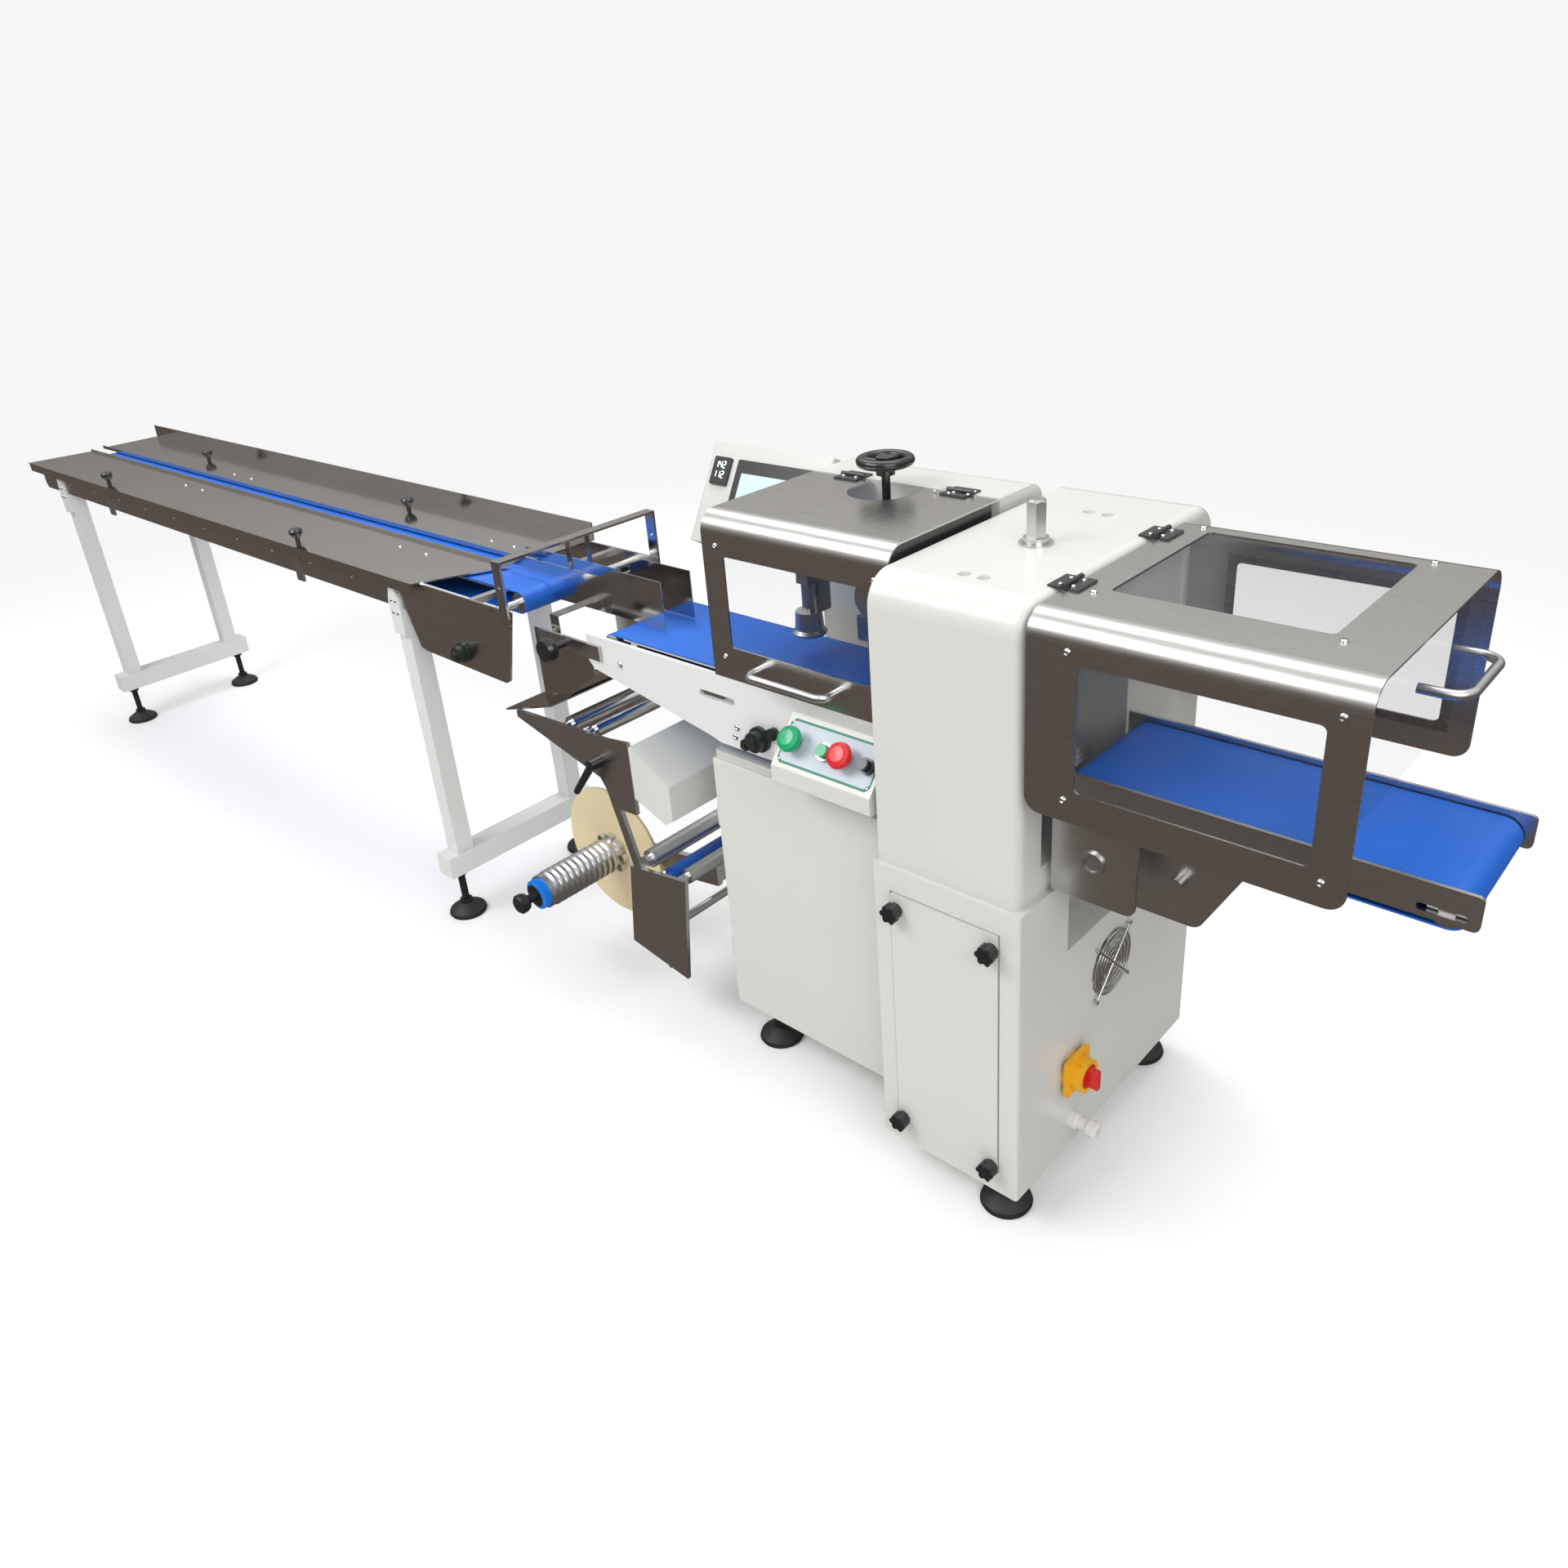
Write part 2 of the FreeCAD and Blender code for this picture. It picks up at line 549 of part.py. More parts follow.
def front_table_plate():
    """Front slide plate with a turned-down lip; its ends are cut back towards the lane."""
    outline = [(table_x0, TABLE_FRONT), (table_x0 + 26, SLOT_FRONT), (table_x1 - 9, SLOT_FRONT), (table_x1 - 93, TABLE_FRONT)]
    top = prism_z(outline, INFEED_Z, INFEED_Z + SHEET)
    lip = block(table_x0 + 6, table_x1 - 93, TABLE_FRONT, TABLE_FRONT + SHEET, INFEED_Z - 20, INFEED_Z)
    edge = block(table_x0 + 26, table_x1 - 9, SLOT_FRONT - SHEET, SLOT_FRONT, INFEED_Z + SHEET, INFEED_Z + 9)
    return fuse([top, lip, edge])


def rear_table_plate():
    """Rear slide plate with the upturned back fence."""
    top = block(table_x0 + 6, table_x1, SLOT_REAR, TABLE_REAR, INFEED_Z, INFEED_Z + SHEET)
    fence = block(table_x0 + 6, table_x1, TABLE_REAR - SHEET, TABLE_REAR, INFEED_Z, INFEED_Z + FENCE)
    edge = block(table_x0 + 6, table_x1, SLOT_REAR, SLOT_REAR + SHEET, INFEED_Z + SHEET, INFEED_Z + 9)
    return fuse([top, fence, edge])


clamp_x = [channel_x0 + 500.0, channel_x0 + 1560.0]


def table_knob(x, y):
    """Small clamping knob on a stem, standing on a table plate."""
    z = INFEED_Z + SHEET
    profile = [(0, 0), (5, 0), (5, 10), (9, 12), (14, 20), (15, 26), (12, 30), (0, 31)]
    return revolve(profile, V(x, y, z), AXIS_Z)


def clamp_knobs():
    """Clamping knobs of the table plates, the access door and the nose."""
    knobs = [table_knob(x, y) for x in clamp_x for y in (TABLE_FRONT + 25, TABLE_REAR - 80)]
    for x in (door_x0 + star_inset_x, door_x1 - star_inset_x):
        for z in (door_z0 + star_inset_z - 18, door_z1 - star_inset_z):
            knobs.append(star_knob(x, CABINET_FRONT - 2, z))
    out = CONVEYOR_HALF + PLATE + 6
    stem = revolve([(0, 0), (7, 0), (7, 26), (22, 30), (24, 40), (20, 48), (0, 50)],
                   V(seal_x0 - 60, -out, BELT_Z - 38), V(0, -1, 0))
    knobs.append(stem)
    return knobs


def table_brackets():
    """Angle brackets under the table plates: two clamp tabs on each side plate."""
    solids = []
    for x in clamp_x:
        for s in (-1, 1):
            y0, y1 = sorted((s * INFEED_HALF, s * (INFEED_HALF + 5)))
            solids.append(block(x - 15, x + 15, y0, y1, INFEED_Z - 82, INFEED_Z))
    return solids


def exit_bridge():
    """Flat-bar portal across the delivery end, with the two product rails hung from it."""
    x0 = head_x1 - 28
    top = INFEED_Z + BRIDGE_RISE
    out = INFEED_HALF + 5
    parts = [block(x0, x0 + 24, -out, out, top - 4, top)]
    for s in (-1, 1):
        y0, y1 = sorted((s * INFEED_HALF, s * out))
        leg = block(x0, x0 + 24, y0, y1, INFEED_Z - 30, top)
        parts.append(leg.cut(slot_cut(x0 + 12, INFEED_Z + 46, 0.1, 8, y0, y1)))
        y0, y1 = sorted((s * (SLOT_REAR + 2), s * (SLOT_REAR + 4)))
        parts.append(block(table_x1 - 5, seal_x0 - 40, y0, y1, INFEED_Z + 12, INFEED_Z + 33))
        parts.append(block(x0 + 6, x0 + 18, y0, y1, INFEED_Z + 33, top))
        parts.append(rod(4, (former_x0 + 120, s * (SLOT_REAR + 3), INFEED_Z + 19), (former_x0 + 120, s * fin_y, INFEED_Z + 19)))
    return fuse(parts)


def leg_frame(x):
    """Two square posts on a base bar, their pointed head plates clasping the side plates."""
    half = LEG_TUBE / 2
    parts = [block(x - BAR_W / 2, x + BAR_W / 2, -LEG_SPREAD, LEG_SPREAD, BAR_Z, BAR_Z + BAR_T)]
    z = channel_z0
    head = [(x - half, z - 60), (x + half, z - 60), (x + half, z + 12), (x + 8, z + 46), (x - 8, z + 46), (x - half, z + 12)]
    for s in (-1, 1):
        y0, y1 = sorted((s * infeed_inner, s * (infeed_inner - LEG_TUBE)))
        parts.append(block(x - half, x + half, y0, y1, BAR_Z + BAR_T, z + 30))
        y0, y1 = sorted((s * infeed_inner, s * INFEED_HALF))
        parts.append(block(x - half, x + half, y0, y1, z - 60, z))
        y0, y1 = sorted((s * INFEED_HALF, s * (INFEED_HALF + 5)))
        parts.append(prism_y(head, y0, y1))
    return fuse(parts)


def leg_frames():
    return [leg_frame(x) for x in leg_x]


# ---------------------------------------------------------------- film forming and unreel
fin_y = 34.0


def former_box():
    """Bent sheet forming box: two cheeks joined by a sloping throat and a lower film lip."""
    z1, z0 = seal_plate_z - 26, 592.0
    outer = FORMER_HALF
    cheek = [(former_x0, z1), (former_x0, z0), (former_x0 + 70, z0 + 22), (former_x1, z1 - 62), (former_x1, z1)]
    cheeks = [prism_y(cheek, y0, y0 + 2) for y0 in (-outer, outer - 2)]
    throat = [(former_x0 + 2, z0 + 2), (former_x0 + 70, z0 + 24), (former_x1, z1 - 60), (former_x1, z1 - 56),
              (former_x0 + 69, z0 + 27), (former_x0 + 2, z0 + 5)]
    lip = [(former_x0 - 90, z0 - 26), (former_x0, z0), (former_x0 + 70, z0 + 22), (former_x0 + 70, z0 + 19),
           (former_x0, z0 - 3), (former_x0 - 89, z0 - 29)]
    return fuse(cheeks + [prism_y(throat, -outer, outer), prism_y(lip, -outer - 37, outer + 37)])


def former_fins():
    """Two polished guide plates that turn the film edges up, each on a bracket from the forming box."""
    z0, tip = BELT_Z + 3, former_x0 - 8
    points = [(tip, z0 + 6), (seal_x0 + 10, z0 + 88), (seal_x0 + 137, z0 + 88), (seal_x0 + 137, z0), (tip, z0)]
    x0 = former_x0 + 60
    plates = []
    for s in (-1, 1):
        y0, y1 = sorted((s * fin_y, s * (fin_y + 2)))
        plate = prism_y(points, y0, y1)
        y0, y1 = sorted((s * fin_y, s * (FORMER_HALF + 2)))
        strip = block(x0, x0 + 24, y0, y1, z0, z0 + 2)
        y0, y1 = sorted((s * FORMER_HALF, s * (FORMER_HALF + 2)))
        drop = block(x0, x0 + 24, y0, y1, z0 - 60, z0)
        plates.append(fuse([plate, strip, drop]))
    return plates


def film_frame():
    """Front and rear plates of the film unit on tie bars, carried by the cabinet's left face."""
    z_top = 600.0
    x1 = base_x0 - 178
    neck = [(x1 - 78, z_top - 60), (x1 - 60, z_top - 8), (x1, z_top), (x1, z_top - 146), (x1 - 58, z_top - 150),
            (x1 - 92, z_top - 96)]
    arm = [(x1 - 330, z_top - 20), (x1 - 330, z_top - 34), (x1 - 92, z_top - 96), (x1 - 40, z_top - 60), (x1 - 60, z_top - 8)]
    link = [(x1 - 84, z_top - 100), (x1 - 62, z_top - 100), (x1 + 52, 136), (x1 + 34, 128)]
    foot = [(x1 - 42, 330), (x1 + 112, 352), (x1 + 84, 124), (x1 - 66, 150)]
    parts = []
    for y0 in (FILM_FRONT, FILM_REAR - FILM_PLATE):
        parts.append(prism_y(foot, y0, y0 + FILM_PLATE))
        parts.append(prism_y(link, y0 - 0.0, y0 + FILM_PLATE))
        parts.append(prism_y(neck, y0, y0 + FILM_PLATE))
        parts.append(prism_y(arm, y0, y0 + FILM_PLATE))
    for x, z, r in ((x1 - 20, z_top - 126, 7), (x1 + 30, 210, 8), (x1 - 62, z_top - 120, 6)):
        parts.append(rod(r, (x, FILM_FRONT, z), (x, FILM_REAR, z)))
    stay = block(x1 + 40, base_x0, FILM_REAR - FILM_PLATE, FILM_REAR, 240, 290)
    upper_stay = block(x1 - 10, base_x0, FILM_REAR - FILM_PLATE, FILM_REAR, z_top - 110, z_top - 70)
    return fuse(parts + [stay, upper_stay])


film_x1 = base_x0 - 178
idler_places = [(film_x1 - 8, 347.0, 18.0), (film_x1 + 50, 330.0, 18.0), (film_x1 + 92, 345.0, 14.0)]
guide_places = [(film_x1 - 190, 577.0, 17.0), (film_x1 - 120, 585.0, 15.0)]


def film_roller(x, z, radius):
    """Idler tube between the plates of the film unit, on stub pins with flanges."""
    y0, y1 = FILM_FRONT + FILM_PLATE + SEAT, FILM_REAR - FILM_PLATE - SEAT
    body = rod(radius, (x, y0 + 14, z), (x, y1 - 14, z))
    necks = rod(radius * 0.6, (x, y0, z), (x, y1, z))
    return fuse([body, necks])


def film_motor_cover():
    """Five-sided cover over the film drive, between the film plates and the cabinet."""
    x0 = film_x1 + 2
    x1 = base_x0 - 78
    z1 = 594.0
    points = [(x0, z1), (x1, z1 - 52), (x1, z1 - 120), (x1 - 20, z1 - 134), (x0, z1 - 104)]
    body = prism_y(points, FILM_FRONT, FILM_REAR - FILM_PLATE)
    return round_edges(body, 4, AXIS_Y, lambda c: c.x > x1 - 25)


reel_back = REEL_Y + 6.0


def reel_arm():
    """Bar from the film unit's rear plate that carries the reel spindle, with its bearing boss."""
    spindle_y = reel_back + 11
    arm = prism_y([(REEL_X - 26, REEL_Z - 26), (REEL_X + 26, REEL_Z - 26), (film_x1 + 40, 240), (film_x1 + 40, 290),
                   (REEL_X + 20, REEL_Z + 30), (REEL_X - 26, REEL_Z + 26)], spindle_y, spindle_y + 12)
    boss = rod(24, (REEL_X, spindle_y - 6, REEL_Z), (REEL_X, spindle_y + 40, REEL_Z))
    bridge = block(film_x1 + 10, film_x1 + 40, spindle_y + 12, FILM_REAR - FILM_PLATE, 246, 284)
    body = fuse([arm, boss, bridge])
    bore = rod(MANDREL_SHAFT_R + 0.1, (REEL_X, spindle_y - 7, REEL_Z), (REEL_X, spindle_y + 34, REEL_Z))
    return body.cut(bore)


def reel_disc():
    """Flange that the film reel stands against."""
    outer = rod(REEL_RADIUS, (REEL_X, REEL_Y, REEL_Z), (REEL_X, REEL_Y + 6, REEL_Z))
    return outer.cut(rod(MANDREL_SHAFT_R + 8, (REEL_X, REEL_Y - 1, REEL_Z), (REEL_X, REEL_Y + 7, REEL_Z)))


def reel_mandrel():
    """Ribbed expanding mandrel: a turned body with eleven grooves, an eight-lobed hub nut and the spindle."""
    step = 14.0
    ribs = 11
    front = MANDREL_LENGTH
    profile = [(0, -6), (20, -6), (20, 0), (34, 0), (34, 8), (MANDREL_R - 3, 10)]
    for k in range(ribs):
        h = 22 + k * step
        profile += [(MANDREL_R - 4, h), (MANDREL_R, h + step * 0.3), (MANDREL_R, h + step * 0.7)]
    profile += [(MANDREL_R - 4, 22 + ribs * step), (MANDREL_R - 2, front - 10), (MANDREL_R - 2, front), (0, front)]
    body = revolve(profile, V(REEL_X, REEL_Y, REEL_Z), V(0, -1, 0))
    lobes = []
    for k in range(8):
        a = k * math.pi / 4
        cx, cz = REEL_X + 36 * math.cos(a), REEL_Z + 36 * math.sin(a)
        lobes.append(rod(9, (cx, REEL_Y, cz), (cx, REEL_Y - 14, cz)))
    spindle = rod(MANDREL_SHAFT_R, (REEL_X, REEL_Y, REEL_Z), (REEL_X, reel_back + 44, REEL_Z))
    return fuse([body, spindle] + lobes)


def reel_end():
    """Coloured end collar and black hand knob at the mandrel's free end."""
    y = REEL_Y - MANDREL_LENGTH
    collar = revolve([(0, 0), (31, 0), (31, 14), (24, 18), (0, 18)], V(REEL_X, y, REEL_Z), V(0, -1, 0))
    return collar


def reel_knob():
    y = REEL_Y - MANDREL_LENGTH - 18
    profile = [(0, 0), (9, 0), (9, 16), (17, 22), (20, 30), (20, 38), (16, 42), (0, 42)]
    return revolve(profile, V(REEL_X, y, REEL_Z), V(0, -1, 0))


lever_x, lever_z, lever_turn, lever_reach = film_x1 - 85, 541.0, 215.0, 78.0


def clamp_lever(x, z, turn, reach):
    """Indexing clamp lever: hub on the plate's face and a tapering handle."""
    y = FILM_FRONT - SEAT
    hub = rod(11, (x, y, z), (x, y - 26, z))
    handle = Part.makeCone(8, 6.5, reach, V(x, y - 20, z), V(0, -0.12, 1))
    tip = Part.makeSphere(6.5, V(x, y - 20, z) + V(0, -0.12, 1).normalize() * reach)
    whole = fuse([hub, handle, tip])
    whole.rotate(V(x, y, z), AXIS_Y, turn)
    return whole


# ---------------------------------------------------------------- controls and rear housing
panel_front, panel_rear = -170.0, -CONVEYOR_HALF - PLATE
panel_low, panel_lip, panel_top = 655.0, 685.0, 752.0
panel_x0, panel_x1 = -196.0, -3.0
panel_run, panel_rise = panel_rear - 4 - panel_front, panel_top - panel_lip
panel_slope = math.atan2(panel_rise, panel_run)


def control_panel():
    """Wedge-shaped desk box on the conveyor's front side plate."""
    points = [(panel_front, panel_low), (panel_front, panel_lip), (panel_rear - 4, panel_top), (panel_rear, panel_top),
              (panel_rear, panel_low)]
    body = prism_x(points, panel_x0, panel_x1)
    return round_edges(body, 4, AXIS_X, lambda c: c.y < panel_front + 1)


def on_panel(x, share, lift):
    """A point over the sloping panel face: share runs from its front edge to its rear edge."""
    y = panel_front + share * panel_run
    z = panel_lip + share * panel_rise
    return V(x, y, z) + panel_normal * lift


panel_normal = V(0, -math.sin(panel_slope), math.cos(panel_slope))


button_x = {"cycle_button": panel_x0 + 32, "start_button": panel_x0 + 90, "stop_button": panel_x0 + 130}
BEZEL = 8.0
bezel_bore = 11.0
BUTTON_LIFT = 5.0
selector_x = panel_x0 + 172


def button(name):
    """Push button: a stem that slides in its bezel and the cap above it, mushroom-headed or plain."""
    base = on_panel(button_x[name], 0.5, BEZEL + BUTTON_LIFT)
    stem = bezel_bore - SEAT
    if name == "start_button":
        profile = [(0, -8), (stem, -8), (stem, 2), (stem - 1, 3), (0, 3)]
    else:
        profile = [(0, -8), (stem, -8), (stem, 0), (19, 4), (21, 9), (19, 15), (12, 18), (0, 19)]
    points = [base + AXIS_X * r + panel_normal * h for r, h in profile]
    return Part.Face(Part.makePolygon(points + points[:1])).revolve(base, panel_normal, 360)


def button_bezels():
    """Chromed bezel rings of the three buttons, standing on the sloping face."""
    rings = []
    for x in button_x.values():
        start = on_panel(x, 0.5, 0)
        outer = Part.makeCylinder(bezel_bore + 3, BEZEL, start, panel_normal)
        rings.append(outer.cut(Part.makeCylinder(bezel_bore, BEZEL * 2, start, panel_normal)))
    return rings


def selector_knob():
    """Black selector at the right end of the panel."""
    start = on_panel(selector_x, 0.5, SEAT)
    body = Part.makeCylinder(12, 12, start, panel_normal)
    return body.fuse(Part.makeCylinder(9, 10, start + panel_normal * 12, panel_normal)).removeSplitter()


housing_y0, housing_y1 = cover_rear + SWING_GAP, BASE_REAR
housing_x0, housing_x1 = cover_x0, cover_x1
housing_top = COVER_TOP


def rear_housing():
    """Drive housing behind the seal conveyor, with a rounded rear top edge."""
    body = block(housing_x0, housing_x1, housing_y0, housing_y1, BASE_TOP, housing_top)
    return round_edges(body, 34, AXIS_X, lambda c: c.z > housing_top - 1 and c.y > housing_y1 - 1)


hmi_width, hmi_height, hmi_depth = 288.0, 188.0, 52.0
hmi_tilt = 29.0
hmi_x1 = housing_x0 - 8.0
hmi_x0 = hmi_x1 - hmi_width
hmi_low = V(hmi_x0, 132.0, 886.0)


def tilt_hmi(shape):
    """Lean a piece of the operator terminal back about its lower front edge."""
    leaned = shape.copy()
    leaned.rotate(hmi_low, AXIS_X, -hmi_tilt)
    return leaned


def hmi_box():
    """Operator terminal housing and the arm that joins it to the rear housing."""
    x, y, z = hmi_low
    box = block(x, x + hmi_width, y, y + hmi_depth, z, z + hmi_height)
    box = round_edges(box, 6, AXIS_Z, lambda c: True)
    box = tilt_hmi(box)
    arm = block(hmi_x1 - 60, housing_x0, housing_y0 + 30, housing_y0 + 70, z + 20, z + 60)
    return fuse([box, arm])


def hmi_screens():
    """Touch screen with its frame and the small counter module, standing a little proud of the box."""
    x, y, z = hmi_low
    screen = block(x + 74, x + 262, y - 3, y, z + 34, z + 160)
    counter = block(x + 16, x + 58, y - 5, y, z + 108, z + 160)
    glass = block(x + 86, x + 250, y - 4, y - 3, z + 44, z + 140)
    return [tilt_hmi(round_edges(screen, 4, AXIS_Y, lambda c: True)), tilt_hmi(round_edges(counter, 3, AXIS_Y, lambda c: True)),
            tilt_hmi(glass)]


# ---------------------------------------------------------------- fin seal cover and what stands under it
wheel_x, wheel_y, wheel_z = cover_x0 + 178, 129.0, 1088.0
WHEEL_R = 46.0
SCREW_R = 7.0
slot_half = WHEEL_R + 9
RIM_R = 8.0
hinge_axis_y, hinge_axis_z = cover_rear + SWING_GAP / 2, COVER_TOP + 4.0
wheel_sweep = math.hypot(hinge_axis_y - wheel_y + WHEEL_R, wheel_z + RIM_R - hinge_axis_z) + SWING_GAP
slot_y = hinge_axis_y - wheel_sweep + slot_half
window_x0, window_x1 = cover_x0 + 44, cover_x1 - 40
window_z0, window_z1 = 828.0, 978.0
cover_skirt_z = COVER_TOP - COVER_ROUND - 3


def fin_cover_shell():
    """Brushed lid: flat top with a round-ended slot for the height wheel, and the rolled front corner."""
    def lid(x0, x1, y0, y1, z0, z1, radius):
        body = block(x0, x1, y0, y1, z0, z1)
        return round_edges(body, radius, AXIS_X, lambda c: c.y < y0 + 1 and c.z > z1 - 1)
    skirt, t = cover_skirt_z, SHEET
    outer = lid(cover_x0, cover_x1, cover_front, cover_rear, skirt, COVER_TOP, COVER_ROUND)
    inner = lid(cover_x0 - 1, cover_x1 + 1, cover_front + t, cover_rear + 1, skirt - 9, COVER_TOP - t, COVER_ROUND - t)
    shell = outer.cut(inner)
    slot = fuse([rod(slot_half, (wheel_x, slot_y, COVER_TOP - 9), (wheel_x, slot_y, COVER_TOP + 1)),
                 block(wheel_x - slot_half, wheel_x + slot_half, slot_y, cover_rear + 1, COVER_TOP - 9, COVER_TOP + 1)])
    return shell.cut(slot)


def fin_cover_front():
    """Black front panel round the window and the black end cheek next to the tower."""
    panel = block(cover_x0, cover_x1, cover_front, cover_front + SHEET, cover_bottom, cover_skirt_z)
    opening = block(window_x0, window_x1, cover_front - 1, cover_front + SHEET + 1, window_z0, window_z1)
    opening = round_edges(opening, 6, AXIS_Y, lambda c: True)
    panel = panel.cut(opening)
    r = COVER_ROUND - SHEET
    y0, y1 = cover_front + SHEET, cover_rear - 16
    cheek = block(cover_x1 - SHEET, cover_x1, y0, y1, 900, COVER_TOP - SHEET)
    cheek = round_edges(cheek, r, AXIS_X, lambda c: c.y < y0 + 1 and c.z > COVER_TOP - SHEET - 1)
    return fuse([panel, cheek])


def fin_cover_window():
    """Clear sheet behind the opening of the front panel."""
    y0 = cover_front + SHEET
    return block(window_x0 - 12, window_x1 + 12, y0, y0 + 3, window_z0 - 12, window_z1 + 12)


def bow_handle(start, end, out, radius):
    """Bow handle: two legs and a grip with rounded corners, from a path of lines and arcs."""
    start, end, out = V(*start), V(*end), V(*out)
    reach = out.Length
    run = (end - start).normalize()
    lift = V(out).normalize()
    bend = reach * 0.45
    a, b = start + out, end + out
    p1, p2 = a - lift * bend, a + run * bend
    p3, p4 = b - run * bend, b - lift * bend
    k = bend * (1 - math.sqrt(0.5))
    m1 = a - lift * k + run * k
    m2 = b - run * k - lift * k
    path = Part.Wire([Part.LineSegment(start, p1).toShape(), Part.Arc(p1, m1, p2).toShape(),
                      Part.LineSegment(p2, p3).toShape(), Part.Arc(p3, m2, p4).toShape(),
                      Part.LineSegment(p4, end).toShape()])
    ring = Part.Wire([Part.Circle(start, lift, radius).toShape()])
    return path.makePipeShell([ring], True, True)


def fin_cover_handle():
    x0, x1 = cover_x0 + 106, cover_x0 + 262
    z = 806.0
    return bow_handle((x0, cover_front, z), (x1, cover_front, z), (0, -36, 0), 6)


def hinge(x, y, z, along_x, moving):
    """One leaf of a two-leaf hinge with its knuckles; the fixed leaf lies behind the axis."""
    width, leaf, knuckle = 46.0, 22.0, 4.0
    side = -1 if moving else 1
    third = width / 3
    spans = [(third + SEAT, 2 * third - SEAT)] if moving else [(0, third), (2 * third, width)]
    parts = [block(0, width, min(0, side * leaf), max(0, side * leaf), -4.0, -1.0)]
    clear = [block(-1, third + SEAT, -9, 9, -9, 9), block(2 * third - SEAT, width + 1, -9, 9, -9, 9)] if moving else \
        [block(third, 2 * third, -9, 9, -9, 9)]
    flap = parts[0].cut(block(-1, width + 1, -1, 1, -9, 9))
    for c in clear:
        flap = flap.cut(c)
    pieces = [flap]
    for s0, s1 in spans:
        pieces.append(rod(knuckle, (s0, 0, 0), (s1, 0, 0)))
        pieces.append(block(s0, s1, min(0, side * 10), max(0, side * 10), -4.0, -1.0))
    leafy = fuse(pieces)
    if not along_x:
        leafy.rotate(V(0, 0, 0), AXIS_Z, 90)
    leafy.translate(V(x, y, z))
    return leafy


hinge_x = [cover_x0 + 62, cover_x1 - 92]
out_hinge_y = [-84.0, 150.0]
out_axis_x, out_axis_z = tower_x1 + 6.0, TOWER_TOP + 4.0


def hinge_leaves():
    """Fixed leaves of both covers' hinges, on the rear housing and on the tower."""
    fixed = [hinge(x, hinge_axis_y, hinge_axis_z, True, False) for x in hinge_x]
    return fixed + [hinge(out_axis_x, y, out_axis_z, False, False) for y in out_hinge_y]


def sealing_unit():
    """Slide column and head that the height wheel sets: guide plate, pressing cup, clamps and roller blocks."""
    top = COVER_TOP - 30
    column = block(wheel_x - 16, wheel_x + 16, wheel_y - 14, housing_y0, 846, top)
    arm = block(wheel_x - 96, wheel_x + 60, wheel_y - 60, wheel_y - 14, 900, 930)
    guide = block(wheel_x - 96, wheel_x - 76, wheel_y - 90, wheel_y - 60, 850, 990)
    cup = revolve([(0, 0), (27, 0), (29, 5), (24, 10), (22, 40), (0, 40)], V(wheel_x - 86, wheel_y - 104, 818), AXIS_Z)
    stem = rod(10, (wheel_x - 86, wheel_y - 104, 858), (wheel_x - 86, wheel_y - 104, 905))
    yoke = block(wheel_x - 98, wheel_x - 74, wheel_y - 116, wheel_y - 90, 905, 925)
    head = block(wheel_x + 20, wheel_x + 84, wheel_y - 110, wheel_y - 60, 832, 872)
    neck = block(wheel_x + 30, wheel_x + 60, wheel_y - 60, wheel_y - 14, 850, 900)
    wheel = rod(30, (wheel_x + 52, wheel_y - 116, 905), (wheel_x + 52, wheel_y - 96, 905))
    spine = block(wheel_x + 42, wheel_x + 62, wheel_y - 96, wheel_y - 60, 872, 915)
    ball = Part.makeSphere(15, V(wheel_x - 10, wheel_y - 92, 940))
    ball_rod = rod(5, (wheel_x - 10, wheel_y - 92, 940), (wheel_x - 10, wheel_y - 55, 922))
    return fuse([column, arm, guide, cup, stem, yoke, head, neck, wheel, spine, ball, ball_rod])


def display_module():
    """Small panel meter on the guide plate."""
    x1 = wheel_x - 96
    return block(x1 - 40, x1, wheel_y - 86, wheel_y - 70, 908, 982)


def handwheel():
    """Dished hand wheel with three spokes on the height screw."""
    rim = Part.makeTorus(WHEEL_R - RIM_R, RIM_R, V(wheel_x, wheel_y, wheel_z), AXIS_Z)
    hub = rod(15, (wheel_x, wheel_y, wheel_z - 22), (wheel_x, wheel_y, wheel_z + 6))
    spokes = []
    for k in range(3):
        a = math.radians(90 + 120 * k)
        tip = (wheel_x + (WHEEL_R - RIM_R) * math.cos(a), wheel_y + (WHEEL_R - RIM_R) * math.sin(a), wheel_z)
        spokes.append(rod(6.5, (wheel_x, wheel_y, wheel_z - 6), tip))
    screw = rod(SCREW_R, (wheel_x, wheel_y, COVER_TOP - 30 + SEAT), (wheel_x, wheel_y, wheel_z - 10))
    return fuse([rim, hub, screw] + spokes)


